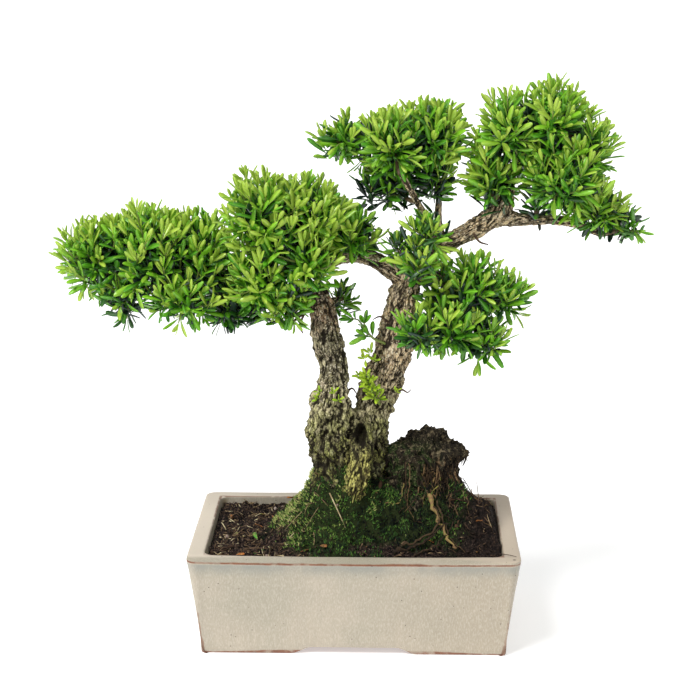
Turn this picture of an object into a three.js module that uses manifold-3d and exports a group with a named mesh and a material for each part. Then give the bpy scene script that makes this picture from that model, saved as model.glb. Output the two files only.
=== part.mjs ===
// Harland boxwood bonsai: a twin-trunked tree with an old dead stump beside it, in a glazed pot.
// Millimetres, +Z up, +X along the pot's long side, +Y towards the back.
// Everything is placed from the middle of the pot's foot, and the finished group is then moved so that the
// middle of its bounding box's bottom is the origin.

import * as THREE from 'three';
import { mergeVertices } from 'three/addons/utils/BufferGeometryUtils.js';
import Module from 'manifold-3d';

const wasm = await Module();
wasm.setup();

// Pot

const POT_LENGTH = 268;
const POT_DEPTH = 190;
const POT_HEIGHT = 84;
const FOOT_INSET = 10.8;
const LIP_WIDTH = 14;
const WALL_TAPER_INSIDE = 9;
const CORNER_RADIUS = 9;
const FLOOR_TOP = 14;
const FOOT_HEIGHT = 5.5;
const FRONT_ARCH_LENGTH = 102;
const SIDE_ARCH_LENGTH = 62;
const ARCH_RUN = 16;
const DRAIN_HOLE_RADIUS = 9;
const DRAIN_HOLE_X = 62;

// Drain screens

const SCREEN_SIDE = 26;
const SCREEN_THICKNESS = 1;
const SCREEN_CELLS = 3;
const SCREEN_BAR = 1.6;

// Soil

const SOIL_LEVEL = 78;
const TRUNK_MOUND = { x: -9, y: -8, height: 84, spreadX: 41, spreadY: 40 };
const STUMP_MOUND = { x: 62, y: -4, height: 52, spreadX: 58, spreadY: 46 };
const MOUND_POWER = 1.9;
const WALL_SHOULDER = 30;
const WALL_RISE = 7;
const RIPPLE_HEIGHT = 1.2;
const SOIL_RING_SHARES = [1, 0.9, 0.76, 0.6, 0.42, 0.2];

// Clearance between pieces that touch

const GAP = 0.35;

// Points nearer than this are one point

const MERGE_DISTANCE = 1e-3;

// Wood: each run is a list of [x, y, z, radius] along its middle line

const LEFT_TRUNK = [
  [-14, -13, 56, 17], [-15, -14, 96, 17], [-16, -15, 130, 15.5], [-21, -15, 156, 16.5],
  [-22, -15, 182, 17.5], [-20.5, -15, 198, 16.5], [-19, -14, 210, 13], [-18.6, -13, 221, 11],
  [-18.6, -12, 232, 11], [-22.6, -11, 245, 12.5], [-25, -10, 257, 12], [-25, -10, 269, 11.3],
  [-29, -10, 284, 9.5], [-38, -11, 291, 7.5],
];
const TRUNK_FOOT = [
  [-6, -5, 56, 25], [-6, -6, 92, 27], [-5, -7, 118, 25], [-5, -7, 145, 22], [-5, -6, 168, 18],
  [-4, -5, 186, 11],
];
const RIGHT_TRUNK = [
  [6, 2, 56, 20], [8, 4, 100, 18.5], [10, 5, 132, 16.5], [12, 5, 158, 15.5], [14.5, 5, 180, 15.5],
  [17, 5, 192, 16.5], [19.5, 5, 204, 17.5], [23, 5, 216, 15.5], [27.6, 5, 229, 15], [31.4, 5, 242, 15.5],
  [34.3, 5, 254, 14.5], [36.4, 5, 266, 13], [39, 5, 280, 13], [42, 5, 292, 11.5], [48, 5, 306, 10],
];
const RIGHT_LIMB = [
  [46, 5, 303, 9.5], [57, 5, 317, 8], [69, 5, 327, 7.2], [89, 5, 338, 7], [101, 5, 346, 8],
  [109, 5, 350.5, 9.2], [117, 4, 352.5, 7.4], [130, 3, 353, 6.2], [155, 2, 350.5, 5.2],
  [179, 0, 345, 4.2], [200, -2, 336, 3],
];
const ARCH = [
  [43, 5, 290, 8.5], [36, 5, 299.5, 8], [23.5, 4, 309, 6.8], [7, 1, 314.5, 6.3], [-9, -4, 312, 6.4],
  [-25, -9, 306, 6.2], [-40, -15, 308, 5.2], [-54, -22, 314, 4],
];
const LEFT_LIMB = [
  [-30, -10, 284, 8.5], [-46, -9, 278, 7.2], [-66, -7, 277, 6.4], [-88, -6, 282, 5.8], [-110, -5, 290, 5.2],
  [-132, -5, 298, 4.4],
];
const THIN_BRANCH = [
  [66, 5, 322, 3.6], [61, 5, 342, 2.9], [52, 5, 359, 2.6], [43.7, 5, 374.6, 2.5], [36, 5, 388, 2.2],
];
const BACK_BRANCH = [[89, 7, 338, 4.6], [90, 12, 356, 3.6], [80, 14, 376, 2.6]];
const CROWN_BRANCH = [[109, 6, 350, 6], [116, 8, 366, 5], [122, 9, 382, 4], [133, 9, 400, 3]];
const LOW_BRANCH = [
  [42, 2, 294, 6.2], [54, -4, 303, 5.6], [66, -9, 301, 5], [80, -12, 295, 4.2], [92, -13, 290, 3.2],
];
const FRONT_BRANCH = [[44, 2, 296, 5], [47, -12, 304, 4], [50, -24, 314, 3], [53, -31, 324, 2.2]];
const SIDE_TWIG = [[-24, -6, 276, 5], [-20, 4, 277, 3.2], [-15, 12, 278, 2]];
const ROOTS = [
  [[6, -8, 176, 7], [4, -19, 156, 11], [3, -27, 136, 12], [2, -32, 116, 11], [1, -36, 96, 8]],
  [[-24, -14, 140, 9], [-34, -16, 114, 9], [-44, -20, 92, 7], [-54, -24, 78, 4]],
  [[-20, 0, 146, 9], [-28, 12, 116, 10], [-42, 26, 96, 8], [-54, 36, 80, 4]],
  [[10, 12, 146, 9], [6, 26, 116, 10], [0, 40, 94, 8], [-6, 54, 78, 4]],
];
const TRUNK_HOLLOW = { x: 2, y: -26, z: 173, radiusX: 6, radiusY: 13, radiusZ: 12 };

// Stump: rings of [height, middle x, middle y, half width, half depth]

const STUMP_RINGS = [
  [56, 64, 0, 43, 46], [80, 64, -2, 44, 45], [100, 62, 0, 42, 37], [116, 58, 4, 34, 30],
  [128, 57, 6, 33, 28], [138, 59, 8, 35, 27], [146, 58, 8, 34, 24], [153, 56, 9, 28, 20],
  [161, 60, 9, 17, 13], [168, 63, 9, 8, 7],
];
const STUMP_SIDES = 18;

// Foliage: lobes of [x, y, z, half width, half depth, half height], out to the tips of the leaves

const LEAF_LENGTH = 35;
const LEAF_SLENDERNESS = 2.7;
const LEAF_THICKNESS = 1.3;
const LEAF_TRIES = 8;
const FOOT_SHARE = 0.72;
const CORE_SHARE = 0.62;
const CORE_UNEVENNESS = 0.07;
const TIP_LIMIT = 1.1;
const SHORTEST_SHARE = 0.55;
const LINK_SHARE = 0.78;
const SHOOT_SPACING = 30.5;
const SHOOT_TRIES = 260;
const GOLDEN_ANGLE = Math.PI * (3 - Math.sqrt(5));
const LIFT = 0.22;
const OUTER_LEAVES = 3;
const INNER_LEAVES = 1;
const PADS = [
  {
    name: 'foliage_left', seed: 11, colour: 0x4f8f28,
    lobes: [
      [-212, 0, 310, 38, 40, 33], [-169, -14, 314, 40, 44, 44], [-126, -4, 307, 36, 44, 46],
      [-166, 40, 308, 40, 34, 36], [-140, -36, 288, 36, 32, 28], [-106, -20, 280, 28, 28, 24],
    ],
  },
  {
    name: 'foliage_left_middle', seed: 12, colour: 0x5a9a2c,
    lobes: [
      [-74, -30, 354, 34, 38, 37], [-36, -12, 352, 38, 42, 37], [-4, -4, 342, 25, 32, 28],
      [-74, -36, 306, 32, 34, 36], [-40, -40, 318, 28, 28, 30], [-46, 32, 334, 40, 36, 34],
      [-58, -34, 281, 27, 24, 20],
    ],
  },
  {
    name: 'foliage_top_middle', seed: 13, colour: 0x4f8f28,
    lobes: [
      [-9, 0, 414, 31, 32, 24], [27, -8, 418, 34, 38, 32], [64, 2, 417, 32, 36, 34],
      [28, 4, 382, 31, 30, 27], [72, 10, 382, 25, 30, 28], [40, 42, 406, 38, 32, 30],
    ],
  },
  {
    name: 'foliage_top_right', seed: 14, colour: 0x579629,
    lobes: [
      [122, -8, 428, 29, 36, 33], [161, -2, 432, 34, 40, 32], [192, 0, 406, 30, 38, 34],
      [168, -22, 384, 37, 36, 30], [199, -6, 357, 29, 32, 25], [110, 2, 390, 26, 32, 30],
      [160, 42, 402, 42, 34, 35], [221, -2, 344, 20, 20, 17],
    ],
  },
  {
    name: 'foliage_low_right', seed: 15, colour: 0x4a8a27,
    lobes: [
      [97, -10, 295, 33, 32, 29], [124, 0, 279, 22, 28, 27], [76, -28, 266, 34, 30, 26],
      [111, -16, 251, 26, 26, 22], [50, -44, 263, 23, 22, 21], [94, 26, 272, 32, 30, 25],
    ],
  },
  {
    name: 'foliage_front', seed: 16, colour: 0x62a52f,
    lobes: [[49, -38, 318, 21, 22, 21], [60, -28, 342, 20, 20, 23], [35, -26, 334, 15, 18, 17]],
  },
  { name: 'foliage_inner', seed: 17, colour: 0x3f7d28, lobes: [[-13, 17, 278, 18, 18, 18]] },
];
const SPRIGS = [
  {
    name: 'sprig_upper', seed: 21, colour: 0x4b8a2a,
    stem: [[24, -8, 244, 1.4], [14, -14, 250, 1.4], [8, -17, 258, 1.3], [2, -18, 266, 1.1]], pairs: 5,
  },
  {
    name: 'sprig_lower', seed: 22, colour: 0x8cc83a,
    stem: [[20, -8, 196, 1.4], [15, -17, 202, 1.4], [13, -22, 210, 1.3], [9, -24, 220, 1.1]], pairs: 5,
  },
];
const SPRIG_LEAF_LENGTH = 18;
const SPRIG_STEM = { sides: 5, step: 6, knots: 0 };

// Colours

const GLAZE_COLOUR = 0xcfc4ab;
const SCREEN_COLOUR = 0x2a2a2a;
const SOIL_COLOUR = 0x2e3319;
const BARK_COLOUR = 0x7d7048;
const STUMP_COLOUR = 0x2c2a1e;
const LEAF_ROUGHNESS = 0.5;

// Helpers

function seededDraw(seed) {
  let state = seed * 2654435761 >>> 0;
  return () => {
    state = (state + 0x6d2b79f5) >>> 0;
    let t = state;
    t = Math.imul(t ^ (t >>> 15), t | 1);
    t ^= t + Math.imul(t ^ (t >>> 7), t | 61);
    return ((t ^ (t >>> 14)) >>> 0) / 4294967296;
  };
}

// A closed geometry made of triangles over a list of points.
function closedGeometry(points, triangles) {
  const geometry = new THREE.BufferGeometry().setFromPoints(points);
  geometry.setIndex(triangles);
  return geometry;
}

// A closed skin over rings that all have the same number of points, with a fan over each end.
function loftGeometry(rings) {
  const count = rings[0].length;
  const points = rings.flat();
  const triangles = [];
  for (let ring = 0; ring + 1 < rings.length; ring += 1) {
    for (let i = 0; i < count; i += 1) {
      const a = ring * count + i;
      const b = ring * count + (i + 1) % count;
      triangles.push(a, b, b + count, a, b + count, a + count);
    }
  }
  const middle = (ring) => ring.reduce((sum, p) => sum.add(p), new THREE.Vector3()).divideScalar(count);
  const first = points.push(middle(rings[0])) - 1;
  const last = points.push(middle(rings.at(-1))) - 1;
  const lastRing = (rings.length - 1) * count;
  for (let i = 0; i < count; i += 1) {
    const next = (i + 1) % count;
    triangles.push(first, next, i, last, lastRing + i, lastRing + next);
  }
  return closedGeometry(points, triangles);
}

// The solid for joining and cutting that a closed geometry bounds.
function solidOf(geometry) {
  const bare = geometry.clone();
  bare.deleteAttribute('normal');
  bare.deleteAttribute('uv');
  const merged = mergeVertices(bare, MERGE_DISTANCE);
  return new wasm.Manifold(new wasm.Mesh({
    numProp: 3,
    vertProperties: new Float32Array(merged.attributes.position.array),
    triVerts: new Uint32Array(merged.index.array),
  }));
}

// The largest body of a solid, with points that all but touch merged first, so that no loose scrap or
// sealed hollow stays.
function mainBody(solid) {
  const bodies = solidOf(geometryOf(solid)).decompose();
  const largest = bodies.reduce((best, body) => (body.volume() > best.volume() ? body : best));
  return bodies.length > 1 ? mainBody(largest) : largest;
}

function geometryOf(solid) {
  const mesh = solid.getMesh();
  const geometry = new THREE.BufferGeometry();
  geometry.setAttribute('position', new THREE.BufferAttribute(new Float32Array(mesh.vertProperties), 3));
  geometry.setIndex(new THREE.BufferAttribute(new Uint32Array(mesh.triVerts), 1));
  geometry.computeVertexNormals();
  return geometry;
}

function meshOf(name, solid, colour, roughness) {
  const looks = { color: colour, roughness, metalness: 0, flatShading: true };
  const mesh = new THREE.Mesh(geometryOf(solid), new THREE.MeshStandardMaterial(looks));
  mesh.name = name;
  return mesh;
}

function vector(x, y, z) {
  return new THREE.Vector3(x, y, z);
}

// The outline of a rectangle with round corners, at one height.
function roundedOutline(halfLength, halfDepth, radius, z) {
  const longSteps = 6;
  const shortSteps = 4;
  const cornerSteps = 3;
  const outline = [];
  const corners = [[1, -1, -90], [1, 1, 0], [-1, 1, 90], [-1, -1, 180]];
  corners.forEach(([sideX, sideY, start], corner) => {
    const middleX = sideX * (halfLength - radius);
    const middleY = sideY * (halfDepth - radius);
    for (let step = 0; step <= cornerSteps; step += 1) {
      const angle = THREE.MathUtils.degToRad(start + 90 * step / cornerSteps);
      outline.push(vector(middleX + radius * Math.cos(angle), middleY + radius * Math.sin(angle), z));
    }
    const [nextX, nextY, nextStart] = corners[(corner + 1) % 4];
    const nextAngle = THREE.MathUtils.degToRad(nextStart);
    const from = outline.at(-1);
    const to = vector(
      nextX * (halfLength - radius) + radius * Math.cos(nextAngle),
      nextY * (halfDepth - radius) + radius * Math.sin(nextAngle),
      z,
    );
    const steps = corner % 2 === 0 ? shortSteps : longSteps;
    for (let step = 1; step < steps; step += 1) {
      outline.push(from.clone().lerp(to, step / steps));
    }
  });
  return outline;
}

// A limb along a smooth line through [x, y, z, radius] stations, with a lobed, knotty section.
function limbSolid(stations, { sides = 9, step = 11, knots = 0.09, swell = 0, seed = 1 } = {}) {
  const draw = seededDraw(seed);
  const places = stations.map(([x, y, z]) => vector(x, y, z));
  const curve = new THREE.CatmullRomCurve3(places, false, 'centripetal');
  const count = Math.max(3, Math.round(curve.getLength() / step));
  const lobePhase = draw() * Math.PI * 2;
  const rings = [];
  let side = null;
  for (let i = 0; i <= count; i += 1) {
    const along = i / count * (stations.length - 1);
    const low = Math.min(Math.floor(along), stations.length - 2);
    const radius = THREE.MathUtils.lerp(stations[low][3], stations[low + 1][3], along - low);
    const centre = curve.getPoint(i / count);
    const tangent = curve.getTangent(i / count);
    side = side ?? vector(0, 1, 0.01);
    side = side.clone().addScaledVector(tangent, -side.dot(tangent)).normalize();
    const third = tangent.clone().cross(side);
    const ring = [];
    for (let k = 0; k < sides; k += 1) {
      const angle = k / sides * Math.PI * 2;
      const lobes = Math.sin(3 * angle + lobePhase + i * 0.35) * 0.5 + (draw() - 0.5);
      const reach = radius * (1 + knots * lobes) + swell;
      ring.push(centre.clone()
        .addScaledVector(side, Math.cos(angle) * reach)
        .addScaledVector(third, Math.sin(angle) * reach));
    }
    rings.push(ring);
  }
  return solidOf(loftGeometry(rings));
}

// An egg-shaped solid, uneven by a seeded amount.
function lumpSolid([x, y, z], [radiusX, radiusY, radiusZ], unevenness, draw, detail = 1) {
  const sphere = new THREE.IcosahedronGeometry(1, detail);
  sphere.deleteAttribute('normal');
  sphere.deleteAttribute('uv');
  const ball = mergeVertices(sphere, MERGE_DISTANCE);
  const place = ball.attributes.position;
  for (let i = 0; i < place.count; i += 1) {
    const swell = 1 + unevenness * (draw() * 2 - 1);
    place.setXYZ(
      i,
      x + place.getX(i) * radiusX * swell,
      y + place.getY(i) * radiusY * swell,
      z + place.getZ(i) * radiusZ * swell,
    );
  }
  return solidOf(ball);
}

// Pot: a tapered shell with a flat lip, four feet left by two crossing arches, and two drain holes.

function archCutter(length, acrossX) {
  const half = length / 2;
  const bend = half - ARCH_RUN / 2;
  const shape = new THREE.Shape();
  shape.moveTo(-half, -1);
  shape.lineTo(-half, 0);
  shape.bezierCurveTo(-bend, 0, -bend, FOOT_HEIGHT, -half + ARCH_RUN, FOOT_HEIGHT);
  shape.lineTo(half - ARCH_RUN, FOOT_HEIGHT);
  shape.bezierCurveTo(bend, FOOT_HEIGHT, bend, 0, half, 0);
  shape.lineTo(half, -1);
  const run = acrossX ? POT_LENGTH : POT_DEPTH;
  const bar = new THREE.ExtrudeGeometry(shape, { depth: run, bevelEnabled: false, curveSegments: 5 });
  bar.translate(0, 0, -run / 2);
  bar.rotateX(Math.PI / 2);
  if (acrossX) {
    bar.rotateZ(Math.PI / 2);
  }
  return solidOf(bar);
}

function cavityOutline(z, inset) {
  const rise = (z - FLOOR_TOP) / (POT_HEIGHT - FLOOR_TOP);
  const halfLength = POT_LENGTH / 2 - LIP_WIDTH - WALL_TAPER_INSIDE * (1 - rise) - inset;
  const halfDepth = POT_DEPTH / 2 - LIP_WIDTH - WALL_TAPER_INSIDE * (1 - rise) - inset;
  return roundedOutline(halfLength, halfDepth, CORNER_RADIUS, z);
}

function buildPot() {
  const wall = (z) => {
    const inset = FOOT_INSET * (1 - z / POT_HEIGHT);
    return roundedOutline(POT_LENGTH / 2 - inset, POT_DEPTH / 2 - inset, CORNER_RADIUS, z);
  };
  const shell = solidOf(loftGeometry([wall(0), wall(POT_HEIGHT)]));
  const cavity = solidOf(loftGeometry([cavityOutline(FLOOR_TOP, 0), cavityOutline(POT_HEIGHT + 1, 0)]));
  const holes = [-DRAIN_HOLE_X, DRAIN_HOLE_X].map((x) => {
    const hole = new THREE.CylinderGeometry(DRAIN_HOLE_RADIUS, DRAIN_HOLE_RADIUS, FLOOR_TOP * 2, 20);
    hole.rotateX(Math.PI / 2);
    hole.translate(x, 0, FLOOR_TOP / 2);
    return solidOf(hole);
  });
  const cuts = [cavity, archCutter(FRONT_ARCH_LENGTH, false), archCutter(SIDE_ARCH_LENGTH, true), ...holes];
  return shell.subtract(wasm.Manifold.union(cuts));
}

// Drain screen: a square of coarse plastic mesh lying over a drain hole.

function boxSolid(length, depth, height, x, y, z) {
  return solidOf(new THREE.BoxGeometry(length, depth, height).translate(x, y, z));
}

function buildScreen(x) {
  const pitch = (SCREEN_SIDE - SCREEN_BAR) / SCREEN_CELLS;
  const opening = pitch - SCREEN_BAR;
  const middle = FLOOR_TOP + GAP + SCREEN_THICKNESS / 2;
  const openings = [];
  for (let row = 0; row < SCREEN_CELLS; row += 1) {
    for (let column = 0; column < SCREEN_CELLS; column += 1) {
      const [u, v] = [column, row].map((n) => (n - (SCREEN_CELLS - 1) / 2) * pitch);
      openings.push(boxSolid(opening, opening, SCREEN_THICKNESS * 3, x + u, v, middle));
    }
  }
  const sheet = boxSolid(SCREEN_SIDE, SCREEN_SIDE, SCREEN_THICKNESS, x, 0, middle);
  return sheet.subtract(wasm.Manifold.union(openings));
}

function screenPocket(x) {
  const side = SCREEN_SIDE + 2 * GAP;
  return boxSolid(side, side, 2 * (SCREEN_THICKNESS + 2 * GAP), x, 0, FLOOR_TOP + GAP);
}

// Wood: both trunks, the limbs and the surface roots grew as one piece.

function buildWood(swell) {
  const thick = { sides: 8, step: 15, knots: 0.2, swell };
  const thin = { sides: 5, step: 18, knots: 0.08, swell };
  const trunks = [LEFT_TRUNK, RIGHT_TRUNK, TRUNK_FOOT];
  const limbs = [RIGHT_LIMB, ARCH, LEFT_LIMB];
  const branches = [THIN_BRANCH, BACK_BRANCH, CROWN_BRANCH, LOW_BRANCH, FRONT_BRANCH, SIDE_TWIG];
  const parts = [
    ...trunks.map((run, i) => limbSolid(run, { ...thick, seed: 31 + i })),
    ...limbs.map((run, i) => limbSolid(run, { ...thick, sides: 7, knots: 0.14, seed: 41 + i })),
    ...branches.map((run, i) => limbSolid(run, { ...thin, seed: 51 + i })),
    ...ROOTS.map((run, i) => limbSolid(run, { ...thin, sides: 7, step: 22, knots: 0.14, seed: 71 + i })),
  ];
  const { x, y, z, radiusX, radiusY, radiusZ } = TRUNK_HOLLOW;
  const size = [radiusX - swell, radiusY - swell, radiusZ - swell];
  const hollow = lumpSolid([x, y, z], size, 0.05, seededDraw(91));
  return mainBody(wasm.Manifold.union(parts).subtract(hollow));
}

// Stump: an upright crag of dead, fluted wood.

function buildStump(swell = 0) {
  const draw = seededDraw(101);
  const rings = STUMP_RINGS.map(([z, middleX, middleY, halfWidth, halfDepth], level) => {
    const ring = [];
    for (let k = 0; k < STUMP_SIDES; k += 1) {
      const angle = k / STUMP_SIDES * Math.PI * 2;
      const flute = 0.07 * Math.sin(7 * angle + level * 0.25) + 0.05 * Math.sin(3 * angle + 1);
      const reach = 1 + flute + (draw() - 0.5) * 0.1;
      const lift = level > 1 ? (draw() - 0.5) * 5 : 0;
      ring.push(vector(
        middleX + Math.cos(angle) * (halfWidth * reach + swell),
        middleY + Math.sin(angle) * (halfDepth * reach + swell),
        z + lift,
      ));
    }
    return ring;
  });
  return solidOf(loftGeometry(rings));
}

// Soil: fills the cavity and rises in a mound around the trunks and the stump.

function moundRise(x, y, { x: middleX, y: middleY, height, spreadX, spreadY }) {
  const distance = Math.hypot((x - middleX) / spreadX, (y - middleY) / spreadY);
  return height * Math.exp(-(distance ** MOUND_POWER));
}

function soilHeight(x, y) {
  const mound = Math.cbrt(moundRise(x, y, TRUNK_MOUND) ** 3 + moundRise(x, y, STUMP_MOUND) ** 3);
  const toSide = POT_LENGTH / 2 - LIP_WIDTH - Math.abs(x);
  const toWall = Math.min(toSide, POT_DEPTH / 2 - LIP_WIDTH - Math.abs(y));
  const shoulder = THREE.MathUtils.smoothstep(toWall, 0, WALL_SHOULDER);
  const ripple = RIPPLE_HEIGHT * Math.sin(x * 0.19 + 2 * Math.sin(y * 0.11)) * Math.sin(y * 0.17 + 1);
  return SOIL_LEVEL + Math.min(mound, WALL_RISE + mound * shoulder) + ripple;
}

function buildSoil() {
  const base = cavityOutline(FLOOR_TOP + GAP, GAP);
  const brim = cavityOutline(SOIL_LEVEL, GAP);
  const top = SOIL_RING_SHARES.map((share) => brim.map((p) => {
    const x = p.x * share;
    const y = p.y * share;
    return vector(x, y, soilHeight(x, y));
  }));
  return solidOf(loftGeometry([base, ...top]));
}

// Leaf: an arched blade with a keel under it, widest past its middle, with a blunt tip and a pointed root.

function leafSolid(root, along, up, length) {
  const width = length / LEAF_SLENDERNESS;
  const across = up.clone().cross(along).normalize();
  const face = along.clone().cross(across).normalize();
  const at = (a, c, f) => root.clone()
    .addScaledVector(along, a * length)
    .addScaledVector(across, c * width)
    .addScaledVector(face, f * LEAF_THICKNESS);
  const points = [
    at(0, 0, 0), at(0.66, 0.5, 0.4), at(0.66, -0.5, 0.4),
    at(0.98, 0.18, -0.8), at(0.98, -0.18, -0.8), at(0.6, 0, -0.8),
  ];
  const triangles = [0, 2, 1, 1, 2, 3, 2, 4, 3, 0, 1, 5, 0, 5, 2, 1, 3, 5, 3, 4, 5, 2, 5, 4];
  return solidOf(closedGeometry(points, triangles));
}

// One leaf of a shoot. Outer leaves open wide in a cross round the shoot's axis, and inner ones stand up
// between them.
function shootLeaf({ foot, axis, turn }, place, lobes, draw) {
  const helper = Math.abs(axis.z) < 0.9 ? vector(0, 0, 1) : vector(1, 0, 0);
  const side = axis.clone().cross(helper).normalize();
  const inner = place >= OUTER_LEAVES;
  const share = inner ? (place - OUTER_LEAVES + 0.5) / INNER_LEAVES : place / OUTER_LEAVES;
  const outward = side.applyAxisAngle(axis, turn + share * Math.PI * 2 + (draw() - 0.5) * 0.7);
  const tilt = THREE.MathUtils.degToRad(inner ? 12 + 18 * draw() : 44 + 26 * draw());
  const along = axis.clone().multiplyScalar(Math.cos(tilt)).addScaledVector(outward, Math.sin(tilt));
  const root = foot.clone().addScaledVector(outward, inner ? 1.3 : 3);
  const wanted = LEAF_LENGTH * (inner ? 0.8 : 1) * (0.85 + 0.3 * draw());
  return leafSolid(root, along, axis, lengthWithin(lobes, root, along, wanted));
}

// The wanted length of a leaf, cut until its tip lies inside the head's outline.
function lengthWithin(lobes, root, along, wanted) {
  let length = wanted;
  const limit = TIP_LIMIT / CORE_SHARE;
  const isOutside = () => {
    const tip = root.clone().addScaledVector(along, length);
    return lobes.every(({ middle, radii }) => tip.clone().sub(middle).divide(radii).length() > limit);
  };
  while (length > LEAF_LENGTH * SHORTEST_SHARE && isOutside()) {
    length *= 0.96;
  }
  return length;
}

// Foliage: a small uneven core round the twigs, and shoots spread evenly over all its sides.

function coreLobes({ lobes }) {
  return lobes.map(([x, y, z, a, b, c]) => ({
    middle: vector(x, y, z),
    radii: vector(a, b, c).multiplyScalar(CORE_SHARE),
  }));
}

// Each lobe is linked to the nearest one before it by a smaller lump, so that the head holds together.
function coreLinks(lobes) {
  return lobes.slice(1).map(({ middle, radii }, i) => {
    const nearest = lobes.slice(0, i + 1).reduce((best, other) => (
      other.middle.distanceTo(middle) < best.middle.distanceTo(middle) ? other : best));
    return {
      middle: middle.clone().lerp(nearest.middle, 0.5),
      radii: radii.clone().lerp(nearest.radii, 0.5).multiplyScalar(LINK_SHARE),
    };
  });
}

function buildCore(pad, draw) {
  const lobes = coreLobes(pad);
  const lumps = [...lobes, ...coreLinks(lobes)].map(({ middle, radii }) => (
    lumpSolid(middle.toArray(), radii.toArray(), CORE_UNEVENNESS, draw, 0)));
  return wasm.Manifold.union(lumps);
}

function shootPlaces(lobes, draw) {
  const places = [];
  for (const { middle, radii } of lobes) {
    for (let i = 0; i < SHOOT_TRIES; i += 1) {
      const z = 1 - 2 * (i + 0.5) / SHOOT_TRIES;
      const angle = i * GOLDEN_ANGLE + draw() * 0.3;
      const flat = Math.sqrt(1 - z * z);
      const unit = vector(flat * Math.cos(angle), flat * Math.sin(angle), z);
      const foot = unit.clone().multiply(radii).add(middle);
      const normal = unit.clone().divide(radii).normalize();
      const buried = lobes.some((other) => (
        other.middle !== middle && foot.clone().sub(other.middle).divide(other.radii).length() < 1.05));
      const crowded = places.some((place) => place.surface.distanceTo(foot) < SHOOT_SPACING);
      if (!buried && !crowded) {
        const axis = normal.clone().add(vector(0, 0, LIFT)).normalize();
        places.push({
          surface: foot,
          foot: foot.clone().lerp(middle, 1 - FOOT_SHARE),
          axis,
          turn: draw() * Math.PI,
        });
      }
    }
  }
  return places;
}

function middleOf(solid) {
  const { min, max } = solid.boundingBox();
  return vector(...min).lerp(vector(...max), 0.5);
}

// Whether a leaf keeps its distance from the large pieces near it and from every leaf placed so far.
function hasRoom(leaf, solids, leaves) {
  const middle = middleOf(leaf);
  const near = leaves.filter((other) => other.middle.distanceTo(middle) < LEAF_LENGTH);
  return [...solids, ...near.map((other) => other.leaf)].every((solid) => leaf.minGap(solid, 1) > GAP);
}

// Fuses to a core the leaves of its shoots, each tried a few times until it finds room.
function buildPad(pad, core, solids, leaves, draw) {
  const own = [];
  const lobes = coreLobes(pad);
  for (const shoot of shootPlaces(lobes, draw)) {
    for (let place = 0; place < OUTER_LEAVES + INNER_LEAVES; place += 1) {
      for (let attempt = 0; attempt < LEAF_TRIES; attempt += 1) {
        const leaf = shootLeaf(shoot, place, lobes, draw);
        if (hasRoom(leaf, solids, leaves)) {
          own.push(leaf);
          leaves.push({ leaf, middle: middleOf(leaf) });
          break;
        }
      }
    }
  }
  return mainBody(wasm.Manifold.union([core, ...own]));
}

// Sprig: a thin stem with pairs of leaves, growing from the bark.

function buildSprig({ stem, pairs, seed }, solids, leaves) {
  const draw = seededDraw(seed);
  const curve = new THREE.CatmullRomCurve3(stem.map(([x, y, z]) => vector(x, y, z)));
  const own = [];
  for (let pair = 0; pair < pairs; pair += 1) {
    const share = 0.4 + 0.58 * pair / (pairs - 1);
    const foot = curve.getPoint(share);
    const axis = curve.getTangent(share);
    const side = axis.clone().cross(vector(0.3, 1, 0.2)).normalize();
    side.applyAxisAngle(axis, pair * Math.PI / 2);
    for (const turn of [0, Math.PI]) {
      const outward = side.clone().applyAxisAngle(axis, turn + (draw() - 0.5) * 0.4);
      const along = axis.clone().multiplyScalar(0.65).add(outward).normalize();
      const length = SPRIG_LEAF_LENGTH * (0.85 + 0.3 * draw());
      own.push(leafSolid(foot.clone().addScaledVector(outward, 0.5), along, axis, length));
    }
  }
  const twig = limbSolid(stem, { ...SPRIG_STEM, seed });
  return mainBody(wasm.Manifold.union([twig, ...own.filter((leaf) => hasRoom(leaf, solids, leaves))]));
}

// Assembly

const woodSwollen = buildWood(GAP);
const sprigSockets = SPRIGS.map(({ stem, seed }) => limbSolid(stem, { ...SPRIG_STEM, swell: GAP, seed }));
const wood = mainBody(buildWood(0).subtract(wasm.Manifold.union(sprigSockets)));
const stump = mainBody(buildStump().subtract(woodSwollen));
const pockets = [screenPocket(-DRAIN_HOLE_X), screenPocket(DRAIN_HOLE_X)];
const buried = wasm.Manifold.union([woodSwollen, buildStump(GAP), ...pockets]);
const soil = mainBody(buildSoil().subtract(buried));
const pieces = [
  { name: 'pot', solid: buildPot(), colour: GLAZE_COLOUR, roughness: 0.3 },
  { name: 'drain_screen_left', solid: buildScreen(-DRAIN_HOLE_X), colour: SCREEN_COLOUR, roughness: 0.7 },
  { name: 'drain_screen_right', solid: buildScreen(DRAIN_HOLE_X), colour: SCREEN_COLOUR, roughness: 0.7 },
  { name: 'trunk', solid: wood, colour: BARK_COLOUR, roughness: 0.9 },
  { name: 'old_stump', solid: stump, colour: STUMP_COLOUR, roughness: 0.95 },
  { name: 'soil', solid: soil, colour: SOIL_COLOUR, roughness: 0.95 },
];

const draws = PADS.map((pad) => seededDraw(pad.seed));
const cores = PADS.map((pad, i) => mainBody(buildCore(pad, draws[i]).subtract(woodSwollen)));
const leaves = [];
PADS.forEach((pad, i) => {
  const solids = [wood, ...cores.filter((core) => core !== cores[i])];
  const solid = buildPad(pad, cores[i], solids, leaves, draws[i]);
  pieces.push({ ...pad, solid, roughness: LEAF_ROUGHNESS });
});
for (const sprig of SPRIGS) {
  const solid = buildSprig(sprig, [wood, ...cores], leaves);
  pieces.push({ ...sprig, solid, roughness: LEAF_ROUGHNESS });
}

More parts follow.
